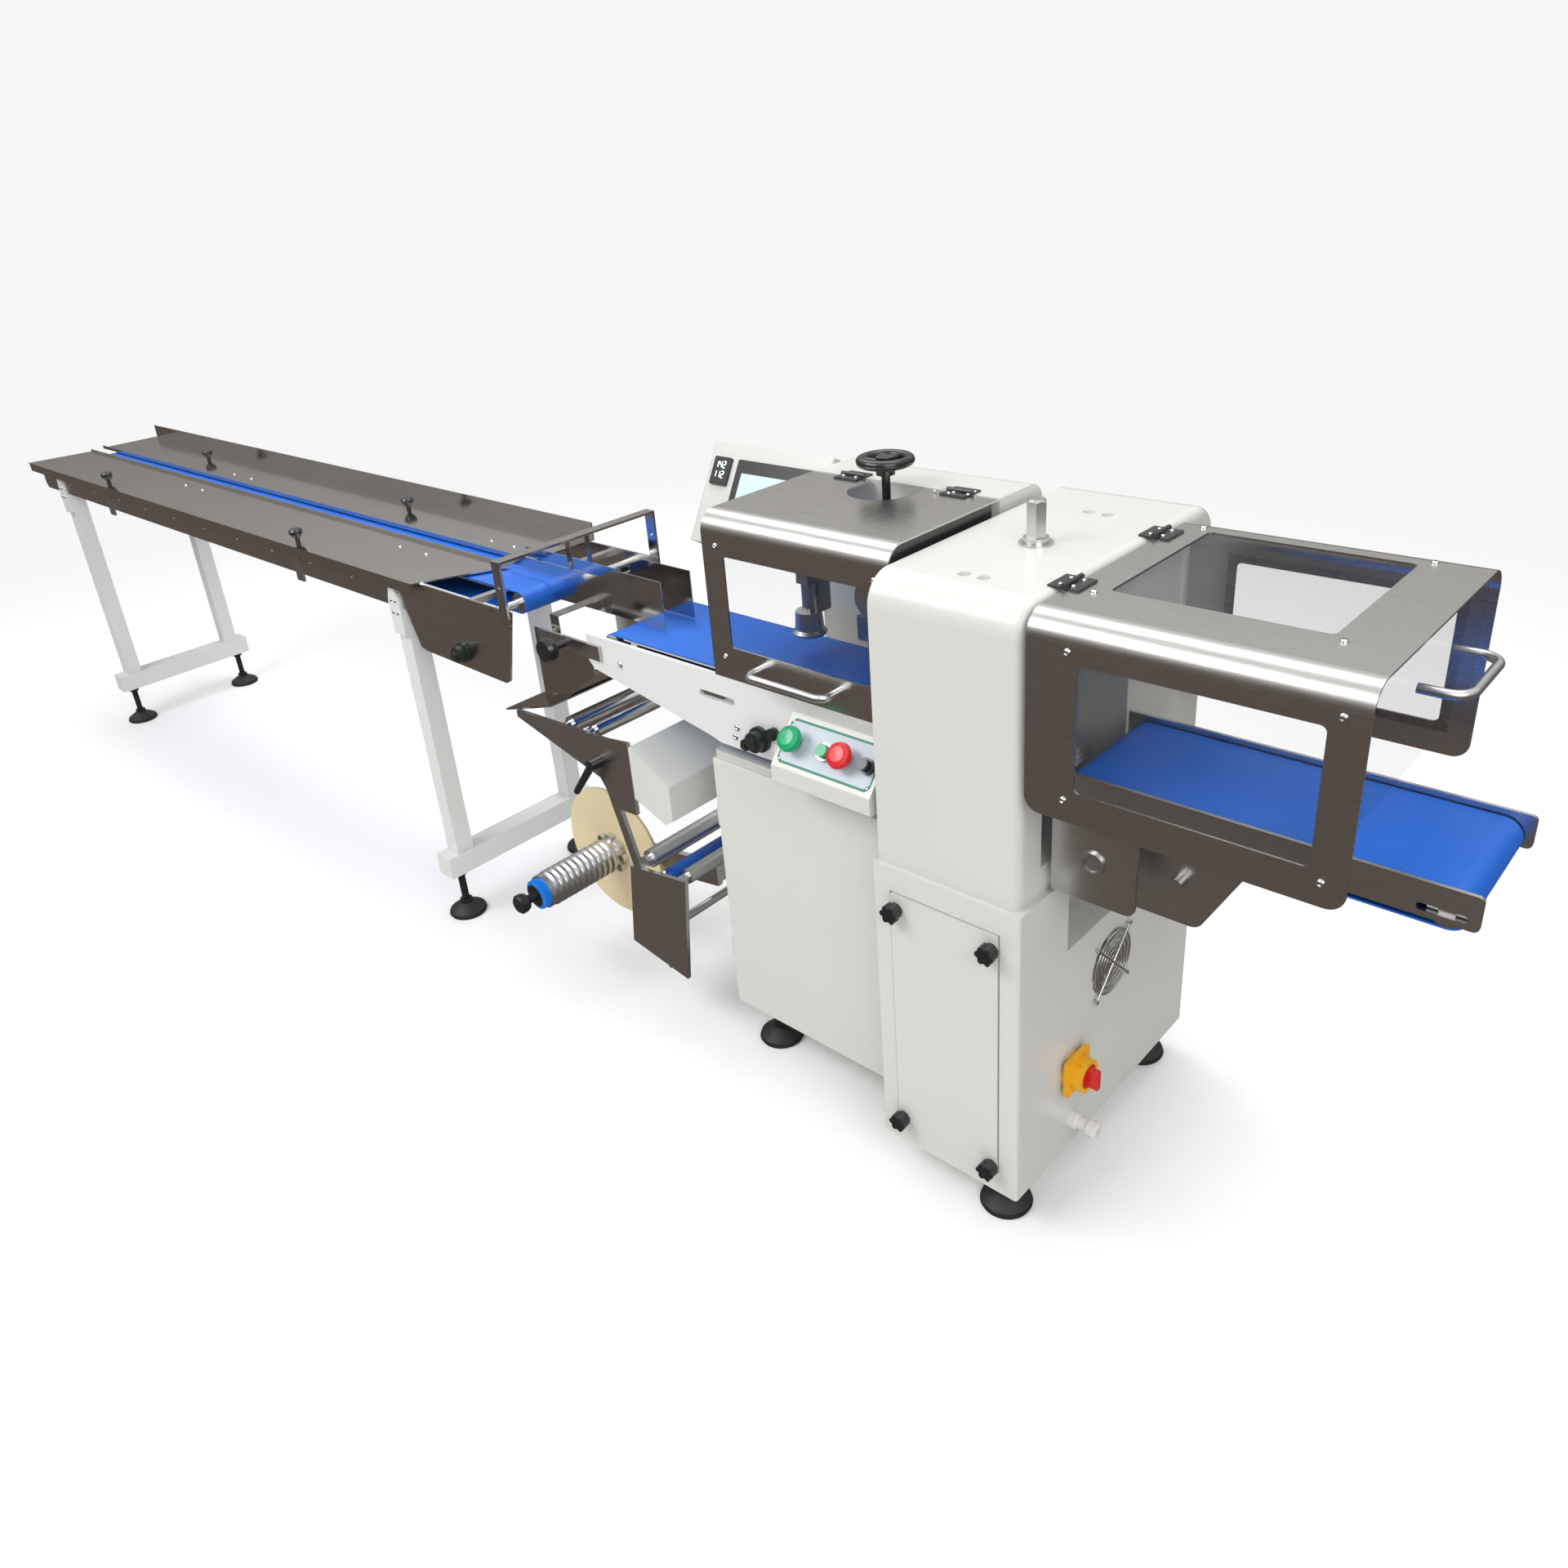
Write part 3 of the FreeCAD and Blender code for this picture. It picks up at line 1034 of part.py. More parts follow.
# ---------------------------------------------------------------- discharge cover
def discharge_cover_shell():
    """Bent lid with front and rear skirts; windows cut in the top and both skirts."""
    x0, x1 = out_cover_x0, out_cover_x1
    outer = block(x0, x1, OUT_COVER_FRONT, OUT_COVER_REAR, OUT_COVER_BOTTOM, OUT_COVER_TOP)
    outer = round_edges(outer, OUT_COVER_ROUND, AXIS_X, lambda c: c.z > OUT_COVER_TOP - 1)
    t = SHEET
    inner = block(x0 - 1, x1 + 1, OUT_COVER_FRONT + t, OUT_COVER_REAR - t, OUT_COVER_BOTTOM - 1, OUT_COVER_TOP - t)
    inner = round_edges(inner, OUT_COVER_ROUND - t, AXIS_X, lambda c: c.z > OUT_COVER_TOP - t - 1)
    shell = outer.cut(inner)
    shell = round_edges(shell, 22, AXIS_Y, lambda c: c.z < OUT_COVER_BOTTOM + 1)
    side = block(pane_x0, pane_x1, OUT_COVER_FRONT - 1, OUT_COVER_REAR + 1, side_z0, side_z1)
    roof = block(roof_x0, roof_x1, roof_y0, roof_y1, OUT_COVER_TOP - 20, OUT_COVER_TOP + 1)
    side = round_edges(side, 8, AXIS_Y, lambda c: True)
    roof = round_edges(roof, 8, AXIS_Z, lambda c: True)
    return shell.cut(side).cut(roof)


pane_x0, pane_x1 = out_cover_x0 + 70, out_cover_x1 - 42
side_z0, side_z1 = OUT_COVER_BOTTOM + 44, OUT_COVER_TOP - 54
roof_x0, roof_x1 = out_cover_x0 + 48, out_cover_x1 - 82
roof_y0, roof_y1 = OUT_COVER_FRONT + 112, OUT_COVER_REAR - 52


def discharge_cover_panes():
    """Clear panes inside the openings, and the clear end plate above the product."""
    lap = 12.0
    t = 3.0
    y_in0, y_in1 = OUT_COVER_FRONT + SHEET, OUT_COVER_REAR - SHEET
    front = block(pane_x0 - lap, pane_x1 + lap, y_in0, y_in0 + t, side_z0 - lap, side_z1 + lap)
    rear = block(pane_x0 - lap, pane_x1 + lap, y_in1 - t, y_in1, side_z0 - lap, side_z1 + lap)
    z_in = OUT_COVER_TOP - SHEET
    roof = block(roof_x0 - lap, roof_x1 + lap, roof_y0 - lap, roof_y1 + lap, z_in - t, z_in)
    r = OUT_COVER_ROUND
    end = block(out_cover_x1 - 8, out_cover_x1 - 5, OUT_COVER_FRONT + r, OUT_COVER_REAR - r, BELT_Z + 76, z_in)
    return [front, rear, roof, end]


def discharge_cover_handle():
    """Flat bow handle on the clear end plate, and the moving hinge leaves."""
    x = out_cover_x1 - 5
    z = OUT_COVER_TOP - 62
    return bow_handle((x, -10, z), (x, 120, z), (52, 0, 0), 6)


# ---------------------------------------------------------------- nodes
def build():
    nodes = {
        "jaw_cabinet": [jaw_cabinet()],
        "cabinet_doors": [access_door(), mid_cabinet_door()],
        "clamp_knobs": clamp_knobs(),
        "levelling_feet": levelling_feet(),
        "cooling_fan": [fan_guard(), fan_rotor()],
        "isolator_base": [isolator_base()],
        "air_fitting": [air_fitting()],
        "jaw_tower": [jaw_tower()],
        "height_adjuster": [height_adjuster()],
        "mid_cabinet": [mid_cabinet()],
        "mid_side_plates": mid_side_plates(),
        "conveyor_belts": [infeed_belt(), mid_belt(), discharge_belt()],
        "belt_rollers": belt_rollers(),
        "slider_beds": slider_beds(),
        "flange_bearings": flange_bearings(),
        "nose_arms": nose_arms(),
        "infeed_side_plates": infeed_side_plates(),
        "front_table_plate": [front_table_plate()],
        "rear_table_plate": [rear_table_plate()],
        "table_brackets": table_brackets(),
        "leg_frames": leg_frames(),
        "former_box": [former_box()],
        "former_fins": former_fins(),
        "exit_bridge": [exit_bridge()],
        "film_frame": [film_frame()],
        "film_motor_cover": [film_motor_cover()],
        "reel_arm": [reel_arm()],
        "control_panel": [control_panel()],
        "button_bezels": button_bezels(),
        "rear_housing": [rear_housing()],
        "hmi_box": [hmi_box()],
        "displays": hmi_screens() + [display_module()],
        "hinge_leaves": hinge_leaves(),
        "fin_cover_hinges": [hinge(x, hinge_axis_y, hinge_axis_z, True, True) for x in hinge_x],
        "discharge_cover_hinges": [hinge(out_axis_x, y, out_axis_z, False, True) for y in out_hinge_y],
        "sealing_unit": [sealing_unit()],
        "discharge_side_plates": discharge_side_plates(),
        "discharge_brackets": discharge_brackets(),
        "isolator_handle": [isolator_handle()],
        "fin_cover_shell": [fin_cover_shell()],
        "fin_cover_front": [fin_cover_front()],
        "fin_cover_window": [fin_cover_window()],
        "fin_cover_handle": [fin_cover_handle()],
        "discharge_cover_shell": [discharge_cover_shell()],
        "discharge_cover_panes": discharge_cover_panes(),
        "discharge_cover_handle": [discharge_cover_handle()],
        "selector_knob": [selector_knob()],
        "handwheel": [handwheel()],
        "reel_disc": [reel_disc()],
        "reel_mandrel": [reel_mandrel()],
        "reel_knob": [fuse([reel_end(), reel_knob()])],
        "sealing_jaws": [jaw(jaw_z_low, 90), jaw(jaw_z_high, 90)],
        "clamp_lever": [clamp_lever(lever_x, lever_z, lever_turn, lever_reach)],
        "film_guide_bars": [film_roller(*place) for place in guide_places],
    }
    for name in button_x:
        nodes[name] = [button(name)]
    for name, place in zip(("left_idler", "middle_idler", "right_idler"), idler_places):
        nodes[name] = [film_roller(*place)]
    return nodes


def centre(nodes):
    """The shift that puts the middle of the overall box over the origin and its lowest point on the floor."""
    box = FreeCAD.BoundBox()
    for solids in nodes.values():
        for solid in solids:
            box.add(solid.optimalBoundingBox(False))
    return V(-box.Center.x, -box.Center.y, -box.ZMin)


def export(nodes, shift):
    os.makedirs("parts", exist_ok=True)
    for name, solids in nodes.items():
        shape = solids[0].copy() if len(solids) == 1 else Part.makeCompound(solids)
        shape.translate(shift)
        shape.exportStep(f"parts/{name}.step")


NODES = build()
SHIFT = centre(NODES)
export(NODES, SHIFT)
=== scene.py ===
import math

import bmesh
import bpy
from mathutils import Matrix, Vector


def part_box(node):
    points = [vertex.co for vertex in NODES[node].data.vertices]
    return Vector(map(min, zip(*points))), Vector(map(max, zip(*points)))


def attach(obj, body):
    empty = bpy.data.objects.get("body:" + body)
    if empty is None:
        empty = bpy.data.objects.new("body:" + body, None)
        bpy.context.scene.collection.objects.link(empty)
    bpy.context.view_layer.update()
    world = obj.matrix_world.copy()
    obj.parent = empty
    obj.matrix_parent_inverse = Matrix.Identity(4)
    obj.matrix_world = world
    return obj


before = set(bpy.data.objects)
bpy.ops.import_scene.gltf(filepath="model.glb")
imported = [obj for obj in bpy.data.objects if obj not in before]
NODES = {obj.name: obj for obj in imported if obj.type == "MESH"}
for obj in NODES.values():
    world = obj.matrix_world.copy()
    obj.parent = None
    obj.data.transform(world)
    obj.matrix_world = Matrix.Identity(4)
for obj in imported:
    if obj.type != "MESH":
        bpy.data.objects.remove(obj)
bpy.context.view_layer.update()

X, Y, Z = Vector((1, 0, 0)), Vector((0, 1, 0)), Vector((0, 0, 1))
MM = 0.001


# ---------------------------------------------------------------- materials
MIX_A, MIX_B, MIX_RESULT = 6, 7, 2
FINE_DETAIL, CLOUD_DETAIL, CLOUD_SCALE = 5.0, 3.0, 4.0
LEAST_ROUGHNESS, COAT_ROUGHNESS = 0.02, 0.15
RELIEF_DEPTH = 0.0006


def material(name, color, rough=0.5, metal=0.0, grain=300.0, stretch=(1, 1, 1), bump=0.05, vary=0.05,
             spread=0.05, clouds=0.04, coat=0.0, alpha=1.0, second=None, limit=None, glow=None):
    """Principled material: fine grain in colour, roughness and bump, with slow clouding over it.
    second and limit = (axis, value) give another colour beyond a plane of the row frame."""
    m = bpy.data.materials.new(name)
    m.use_nodes = True
    tree = m.node_tree
    new, link = tree.nodes.new, tree.links.new
    shader = tree.nodes["Principled BSDF"]
    place = new("ShaderNodeTexCoord")
    mapping = new("ShaderNodeMapping")
    mapping.inputs["Scale"].default_value = stretch
    link(place.outputs["Object"], mapping.inputs["Vector"])
    fine = new("ShaderNodeTexNoise")
    fine.inputs["Scale"].default_value = grain
    fine.inputs["Detail"].default_value = FINE_DETAIL
    link(mapping.outputs["Vector"], fine.inputs["Vector"])
    slow = new("ShaderNodeTexNoise")
    slow.inputs["Scale"].default_value = CLOUD_SCALE
    slow.inputs["Detail"].default_value = CLOUD_DETAIL
    link(place.outputs["Object"], slow.inputs["Vector"])

    def shades(base):
        """Base colour that the fine grain takes a little darker and lighter."""
        low = [c * (1 - vary) for c in base]
        high = [min(1.0, c * (1 + vary)) for c in base]
        mix = new("ShaderNodeMix")
        mix.data_type = "RGBA"
        mix.inputs[MIX_A].default_value = (*low, 1)
        mix.inputs[MIX_B].default_value = (*high, 1)
        link(fine.outputs["Fac"], mix.inputs[0])
        return mix.outputs[MIX_RESULT]

    tint = shades(color)
    if second:
        split = new("ShaderNodeSeparateXYZ")
        link(place.outputs["Object"], split.inputs[0])
        beyond = new("ShaderNodeMath")
        beyond.operation = "GREATER_THAN"
        link(split.outputs[limit[0]], beyond.inputs[0])
        beyond.inputs[1].default_value = limit[1]
        pick = new("ShaderNodeMix")
        pick.data_type = "RGBA"
        link(beyond.outputs[0], pick.inputs[0])
        link(shades(second), pick.inputs[MIX_A])
        link(tint, pick.inputs[MIX_B])
        tint = pick.outputs[MIX_RESULT]
    cloud = new("ShaderNodeMix")
    cloud.data_type = "RGBA"
    cloud.blend_type = "MULTIPLY"
    cloud.inputs[0].default_value = 1.0
    ramp = new("ShaderNodeMapRange")
    ramp.inputs["To Min"].default_value = 1 - clouds
    ramp.inputs["To Max"].default_value = 1 + clouds
    link(slow.outputs["Fac"], ramp.inputs["Value"])
    link(tint, cloud.inputs[MIX_A])
    link(ramp.outputs[0], cloud.inputs[MIX_B])
    link(cloud.outputs[MIX_RESULT], shader.inputs["Base Color"])
    gloss = new("ShaderNodeMapRange")
    gloss.inputs["To Min"].default_value = max(LEAST_ROUGHNESS, rough - spread)
    gloss.inputs["To Max"].default_value = min(1.0, rough + spread)
    link(fine.outputs["Fac"], gloss.inputs["Value"])
    link(gloss.outputs[0], shader.inputs["Roughness"])
    relief = new("ShaderNodeBump")
    relief.inputs["Strength"].default_value = bump
    relief.inputs["Distance"].default_value = RELIEF_DEPTH
    link(fine.outputs["Fac"], relief.inputs["Height"])
    link(relief.outputs["Normal"], shader.inputs["Normal"])
    shader.inputs["Metallic"].default_value = metal
    shader.inputs["Coat Weight"].default_value = coat
    shader.inputs["Coat Roughness"].default_value = COAT_ROUGHNESS
    shader.inputs["Alpha"].default_value = alpha
    if glow:
        shader.inputs["Emission Color"].default_value = (*color, 1)
        shader.inputs["Emission Strength"].default_value = glow
    return m


ALONG_X = (0.02, 1, 1)
PAINT = material("powder_coat", (0.60, 0.605, 0.57), 0.33, grain=900, bump=0.10, vary=0.03, coat=0.25)
WHITE = material("white_enamel", (0.68, 0.69, 0.68), 0.30, grain=700, bump=0.06, vary=0.02, coat=0.3)
STEEL = material("brushed_sheet", (0.60, 0.59, 0.57), 0.26, 1.0, 1100, ALONG_X, 0.012, 0.12, 0.07)
POLISH = material("polished_sheet", (0.60, 0.59, 0.575), 0.13, 1.0, 500, ALONG_X, 0.006, 0.06, 0.04, 0.10)
MACHINED = material("machined_steel", (0.62, 0.62, 0.61), 0.30, 1.0, 900, ALONG_X, 0.010, 0.10, 0.06)
CHROME = material("chromed_steel", (0.72, 0.72, 0.73), 0.08, 1.0, 600, (1, 0.05, 1), 0.004, 0.03, 0.02)
ALU = material("satin_aluminium", (0.66, 0.67, 0.68), 0.32, 1.0, 900, (1, 1, 1), 0.01, 0.06, 0.06)
BELT = material("belt_cover", (0.004, 0.115, 0.56), 0.42, grain=1500, bump=0.12, vary=0.08, clouds=0.08)
BLACK = material("moulded_black", (0.012, 0.012, 0.013), 0.28, grain=1200, bump=0.06, vary=0.2, coat=0.3)
IRON = material("cast_bearing_housing", (0.018, 0.024, 0.021), 0.42, grain=500, bump=0.35, vary=0.3)
SOLE = material("foot_rubber", (0.012, 0.012, 0.012), 0.55, grain=800, bump=0.2, vary=0.25)
BEIGE = material("reel_flange", (0.71, 0.60, 0.37), 0.40, grain=500, bump=0.06, vary=0.05)
GREEN = material("green_cap", (0.0, 0.33, 0.13), 0.30, grain=900, bump=0.04, coat=0.4)
RED = material("red_cap", (0.62, 0.012, 0.018), 0.32, grain=900, bump=0.04, coat=0.4)
YELLOW = material("yellow_housing", (0.83, 0.42, 0.005), 0.38, grain=900, bump=0.06)
PANE = material("clear_sheet", (0.04, 0.045, 0.05), 0.05, grain=200, bump=0.0, vary=0.02, spread=0.02,
                alpha=0.10)
NYLON = material("translucent_nylon", (0.72, 0.72, 0.69), 0.30, grain=500, bump=0.03, vary=0.03)
BLUE = material("blue_roller", (0.006, 0.07, 0.33), 0.30, grain=900, bump=0.05)
FACE = material("panel_face", (0.50, 0.57, 0.63), 0.40, grain=1200, bump=0.04, vary=0.03)
RIM = material("panel_border", (0.01, 0.19, 0.11), 0.40, grain=1200, bump=0.04)
LIT = material("screen_field", (0.42, 0.52, 0.58), 0.3, grain=300, bump=0.0, glow=0.5)
RED_DIGIT = material("red_digits", (1.0, 0.05, 0.02), 0.3, grain=300, bump=0.0, glow=2.5)
PALE_DIGIT = material("pale_digits", (0.70, 0.95, 0.80), 0.3, grain=300, bump=0.0, glow=1.2)

COLLAR_REACH = 18.0 * MM
collar_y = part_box("reel_mandrel")[0].y - COLLAR_REACH
KNOB_END = material("collar_and_knob", (0.0, 0.16, 0.62), 0.32, grain=900, bump=0.05,
                    second=(0.012, 0.012, 0.013), limit=(1, collar_y))
LOOK = {
    PAINT: "jaw_cabinet cabinet_doors mid_cabinet rear_housing jaw_tower control_panel "
           "film_motor_cover hmi_box",
    WHITE: "mid_side_plates leg_frames",
    STEEL: "fin_cover_shell fin_cover_front discharge_cover_shell infeed_side_plates",
    POLISH: "front_table_plate rear_table_plate former_fins former_box exit_bridge",
    MACHINED: "discharge_side_plates discharge_brackets table_brackets nose_arms slider_beds film_frame reel_arm "
              "sealing_unit height_adjuster sealing_jaws belt_rollers cooling_fan",
    CHROME: "button_bezels film_guide_bars",
    ALU: "fin_cover_handle discharge_cover_handle reel_mandrel left_idler right_idler",
    BLUE: "middle_idler",
    BELT: "conveyor_belts",
    BLACK: "clamp_knobs clamp_lever selector_knob handwheel displays fin_cover_hinges discharge_cover_hinges "
           "hinge_leaves",
    IRON: "flange_bearings",
    SOLE: "levelling_feet",
    BEIGE: "reel_disc",
    GREEN: "cycle_button start_button",
    RED: "stop_button isolator_handle",
    YELLOW: "isolator_base",
    PANE: "fin_cover_window discharge_cover_panes",
    NYLON: "air_fitting",
    KNOB_END: "reel_knob",
}
for look, names in LOOK.items():
    for node in names.split():
        slots = NODES[node].data.materials
        slots.clear()
        slots.append(look)


# ---------------------------------------------------------------- mesh helpers
SHARP_ANGLE = math.radians(35)
ON_AXIS = 1e-9
SCREW_SIDES = 18
# button head with its socket, in shares of the head's radius
HEAD_PROFILE = ((0, 0), (1, 0), (1, 0.12), (0.93, 0.34), (0.72, 0.55), (0.52, 0.62), (0.5, 0.2), (0, 0.2))


def piece(name, bm, body, look, smooth=True):
    """Turn a bmesh into a piece that rides on a body."""
    mesh = bpy.data.meshes.new(name)
    bmesh.ops.recalc_face_normals(bm, faces=bm.faces)
    bm.to_mesh(mesh)
    bm.free()
    if smooth:
        mesh.shade_smooth()
        mesh.set_sharp_from_angle(angle=SHARP_ANGLE)
    obj = bpy.data.objects.new(name, mesh)
    bpy.context.scene.collection.objects.link(obj)
    mesh.materials.append(look)
    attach(obj, body)


def stand(point, normal):
    """Matrix that puts local +Z along a normal at a point."""
    turn = Z.rotation_difference(Vector(normal).normalized()).to_matrix().to_4x4()
    return Matrix.Translation(point) @ turn


def lathe(bm, profile, place, sides):
    """Closed turned form from (radius, height) points, ends on the axis."""
    rings = []
    for r, h in profile:
        if r < ON_AXIS:
            rings.append([bm.verts.new(place @ Vector((0, 0, h)))])
            continue
        ring = []
        for k in range(sides):
            a = 2 * math.pi * k / sides
            ring.append(bm.verts.new(place @ Vector((r * math.cos(a), r * math.sin(a), h))))
        rings.append(ring)
    for low, high in zip(rings, rings[1:]):
        for k in range(sides):
            n = (k + 1) % sides
            corners = [low[k % len(low)], low[n % len(low)], high[n % len(high)], high[k % len(high)]]
            unique = [v for i, v in enumerate(corners) if v not in corners[:i]]
            bm.faces.new(unique)


def head(bm, point, normal, radius):
    """Button-head screw seated on a face."""
    lathe(bm, [(radius * r, radius * z) for r, z in HEAD_PROFILE], stand(point, normal), SCREW_SIDES)


def screws(name, body, radius, rows):
    """One piece of many screw heads: rows of (points, normal)."""
    bm = bmesh.new()
    for points, normal in rows:
        for p in points:
            head(bm, Vector(p), normal, radius * MM)
    piece(name, bm, body, CHROME)


def slab(bm, corners, normal, thick):
    """Flat plate on a face from its corner points, raised along the normal."""
    lift = Vector(normal).normalized() * thick
    low = [bm.verts.new(Vector(c)) for c in corners]
    high = [bm.verts.new(Vector(c) + lift) for c in corners]
    bm.faces.new(low[::-1])
    bm.faces.new(high)
    for k in range(len(low)):
        n = (k + 1) % len(low)
        bm.faces.new([low[k], low[n], high[n], high[k]])


def span(node):
    """Limits of a node's box: x, x, y, y, z, z."""
    low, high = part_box(node)
    return low.x, high.x, low.y, high.y, low.z, high.z


# ---------------------------------------------------------------- screws of the two covers
COVER_SCREW_R, FRONT_SCREW_R = 5.0, 4.5
SIDE_LEFT, SIDE_RIGHT, SIDE_LOW, SIDE_HIGH = 56 * MM, 28 * MM, 30 * MM, 40 * MM
ROOF_LEFT, ROOF_RIGHT, ROOF_FRONT, ROOF_REAR = 34 * MM, 68 * MM, 98 * MM, 38 * MM
FRONT_LEFT, FRONT_RIGHT, FRONT_LOW, FRONT_HIGH = 29 * MM, 25 * MM, 38 * MM, 47 * MM

x0, x1, y0, y1, z0, z1 = span("discharge_cover_shell")
side_x, side_z = (x0 + SIDE_LEFT, x1 - SIDE_RIGHT), (z0 + SIDE_LOW, z1 - SIDE_HIGH)
roof_x, roof_y = (x0 + ROOF_LEFT, x1 - ROOF_RIGHT), (y0 + ROOF_FRONT, y1 - ROOF_REAR)
front, rear = [[(x, y, z) for x in side_x for z in side_z] for y in (y0, y1)]
roof = [(x, y, z1) for x in roof_x for y in roof_y]
screws("discharge_cover_screws", "discharge_cover", COVER_SCREW_R, [(front, -Y), (rear, Y), (roof, Z)])

x0, x1, y0, y1, z0, z1 = span("fin_cover_front")
front_x, front_z = (x0 + FRONT_LEFT, x1 - FRONT_RIGHT), (z0 + FRONT_LOW, z1 - FRONT_HIGH)
front = [(x, y0, z) for x in front_x for z in front_z]
screws("fin_cover_screws", "fin_cover", FRONT_SCREW_R, [(front, -Y)])

# ---------------------------------------------------------------- dark skin on the fin cover's cheek
SKIN_SETBACK, SKIN_DEPTH, SKIN_THICK = 3 * MM, 140 * MM, 0.5 * MM
SKIN_CORNER_R, SKIN_CORNER_STEPS = 30 * MM, 8
skin_front = y0 + SKIN_SETBACK
angles = [math.pi / 2 * k / SKIN_CORNER_STEPS for k in range(SKIN_CORNER_STEPS + 1)]
corner = [(x1, skin_front + SKIN_CORNER_R - SKIN_CORNER_R * math.sin(a),
           z1 - SKIN_CORNER_R + SKIN_CORNER_R * math.cos(a)) for a in angles]
outline = [(x1, y1, z1 - SKIN_DEPTH), (x1, y1, z1)] + corner + [(x1, skin_front, z1 - SKIN_DEPTH)]
bm = bmesh.new()
slab(bm, outline, X, SKIN_THICK)
piece("fin_cover_cheek_skin", bm, "fin_cover", BLACK, False)

# ---------------------------------------------------------------- hinge screws
HINGE_SCREW_R = 3.2
HINGE_CELL, LEAF_THICK, SCREW_REACH = 0.12, 3 * MM, 13 * MM
tower_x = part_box("jaw_tower")[0].x
for node, body in (("fin_cover_hinges", "fin_cover"), ("hinge_leaves", "machine"),
                   ("discharge_cover_hinges", "discharge_cover")):
    groups = {}
    for v in NODES[node].data.vertices:
        lies_across = node == "discharge_cover_hinges" or (node == "hinge_leaves" and v.co.x > tower_x)
        way = 1 if lies_across else 0
        groups.setdefault((way, round(v.co[way] / HINGE_CELL)), []).append(v.co)
    rows = []
    for (way, _), points in groups.items():
        low = Vector([min(p[i] for p in points) for i in range(3)])
        high = Vector([max(p[i] for p in points) for i in range(3)])
        middle = (low + high) / 2
        for side in (-1, 1):
            p = middle + (Y if way else X) * SCREW_REACH * side
            rows.append(([(p.x, p.y, low.z + LEAF_THICK)], Z))
    screws(node + "_screws", body, HINGE_SCREW_R, rows)

# ---------------------------------------------------------------- seal conveyor and infeed fasteners, mm
MID_BOLT_R, INFEED_BOLT_R, LEG_BOLT_R, TABLE_SCREW_R = 6.0, 3.6, 4.0, 4.0
MID_BOLTS = ((89, 40), (372, 86), (366, 104))
INFEED_BOLTS, INFEED_BOLT_START, INFEED_BOLT_PITCH, INFEED_BOLT_DROP = 12, 40, 175, 34
LEG_HALF, LEG_FACE = 25, 19
LEG_BOLT_SIDE, LEG_BOLT_DROP, LEG_BOLT_ROWS = 8, 32, (0, 26)
TABLE_PLATE_RISE, TABLE_SCREW_INSET = 23, 45
FRONT_PLATE_SCREWS, REAR_PLATE_SCREWS = (230, 330, 1290, 1390), (110, 190, 1290, 1390)

x0, x1, y0, y1, z0, z1 = span("mid_side_plates")
for name, y, away in (("front", y0, -Y), ("rear", y1, Y)):
    bolts = [(x0 + dx * MM, y, z1 - dz * MM) for dx, dz in MID_BOLTS]
    screws("mid_plate_bolts_" + name, "machine", MID_BOLT_R, [(bolts, away)])

x0, x1, y0, y1, z0, z1 = span("infeed_side_plates")
for name, y, away in (("front", y0, -Y), ("rear", y1, Y)):
    bolts = [(x0 + INFEED_BOLT_START * MM + k * INFEED_BOLT_PITCH * MM, y, z1 - INFEED_BOLT_DROP * MM)
             for k in range(INFEED_BOLTS)]
    screws("infeed_plate_bolts_" + name, "machine", INFEED_BOLT_R, [(bolts, away)])

x0, x1, y0, y1, z0, z1 = span("leg_frames")
for k, x in enumerate((x0 + LEG_HALF * MM, x1 - LEG_HALF * MM)):
    bolts = [(x + side * LEG_BOLT_SIDE * MM, y0 + LEG_FACE * MM, z1 - LEG_BOLT_DROP * MM - row * MM)
             for side in (-1, 1) for row in LEG_BOLT_ROWS]
    screws(f"leg_head_bolts_{k}", "machine", LEG_BOLT_R, [(bolts, -Y)])

front_low, front_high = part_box("front_table_plate")
rear_low, rear_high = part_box("rear_table_plate")
plate_z = front_low.z + TABLE_PLATE_RISE * MM
front_y, rear_y = front_high.y - TABLE_SCREW_INSET * MM, rear_low.y + TABLE_SCREW_INSET * MM
plate_screws = [(front_high.x - d * MM, front_y, plate_z) for d in FRONT_PLATE_SCREWS]
plate_screws += [(rear_high.x - d * MM, rear_y, plate_z) for d in REAR_PLATE_SCREWS]
screws("table_plate_screws", "machine", TABLE_SCREW_R, [(plate_screws, Z)])

# ---------------------------------------------------------------- control panel face
SLOPE_RUN, SLOPE_RISE, LIP_HIGH = 58 * MM, 67 * MM, 30 * MM
SHEET_FROM, SHEET_TO = 0.09, 0.91
SHEET_MARGIN, SHEET_CHAMFER = 6 * MM, 7 * MM
SHEET_SUNK, SHEET_THICK = 0.1 * MM, 0.3 * MM
BORDER_LIFT, FACE_LIFT = 0.15 * MM, 0.45 * MM
FACE_INSET, FACE_NARROWING = 0.045, 60
PANEL_SCREW_R, PANEL_SCREW_INSET, PANEL_SCREW_LIFT = 3.0, 11 * MM, 0.2 * MM
PANEL_SCREW_ROWS = (0.16, 0.84)

x0, x1, y0, y1, z0, z1 = span("control_panel")
slope_normal = Vector((0, -SLOPE_RISE, SLOPE_RUN)).normalized()


def on_slope(x, share, lift):
    """Point on the panel's slope, at a share of the way up it and a lift off it."""
    return Vector((x, y0 + share * SLOPE_RUN, z0 + LIP_HIGH + share * SLOPE_RISE)) + slope_normal * lift


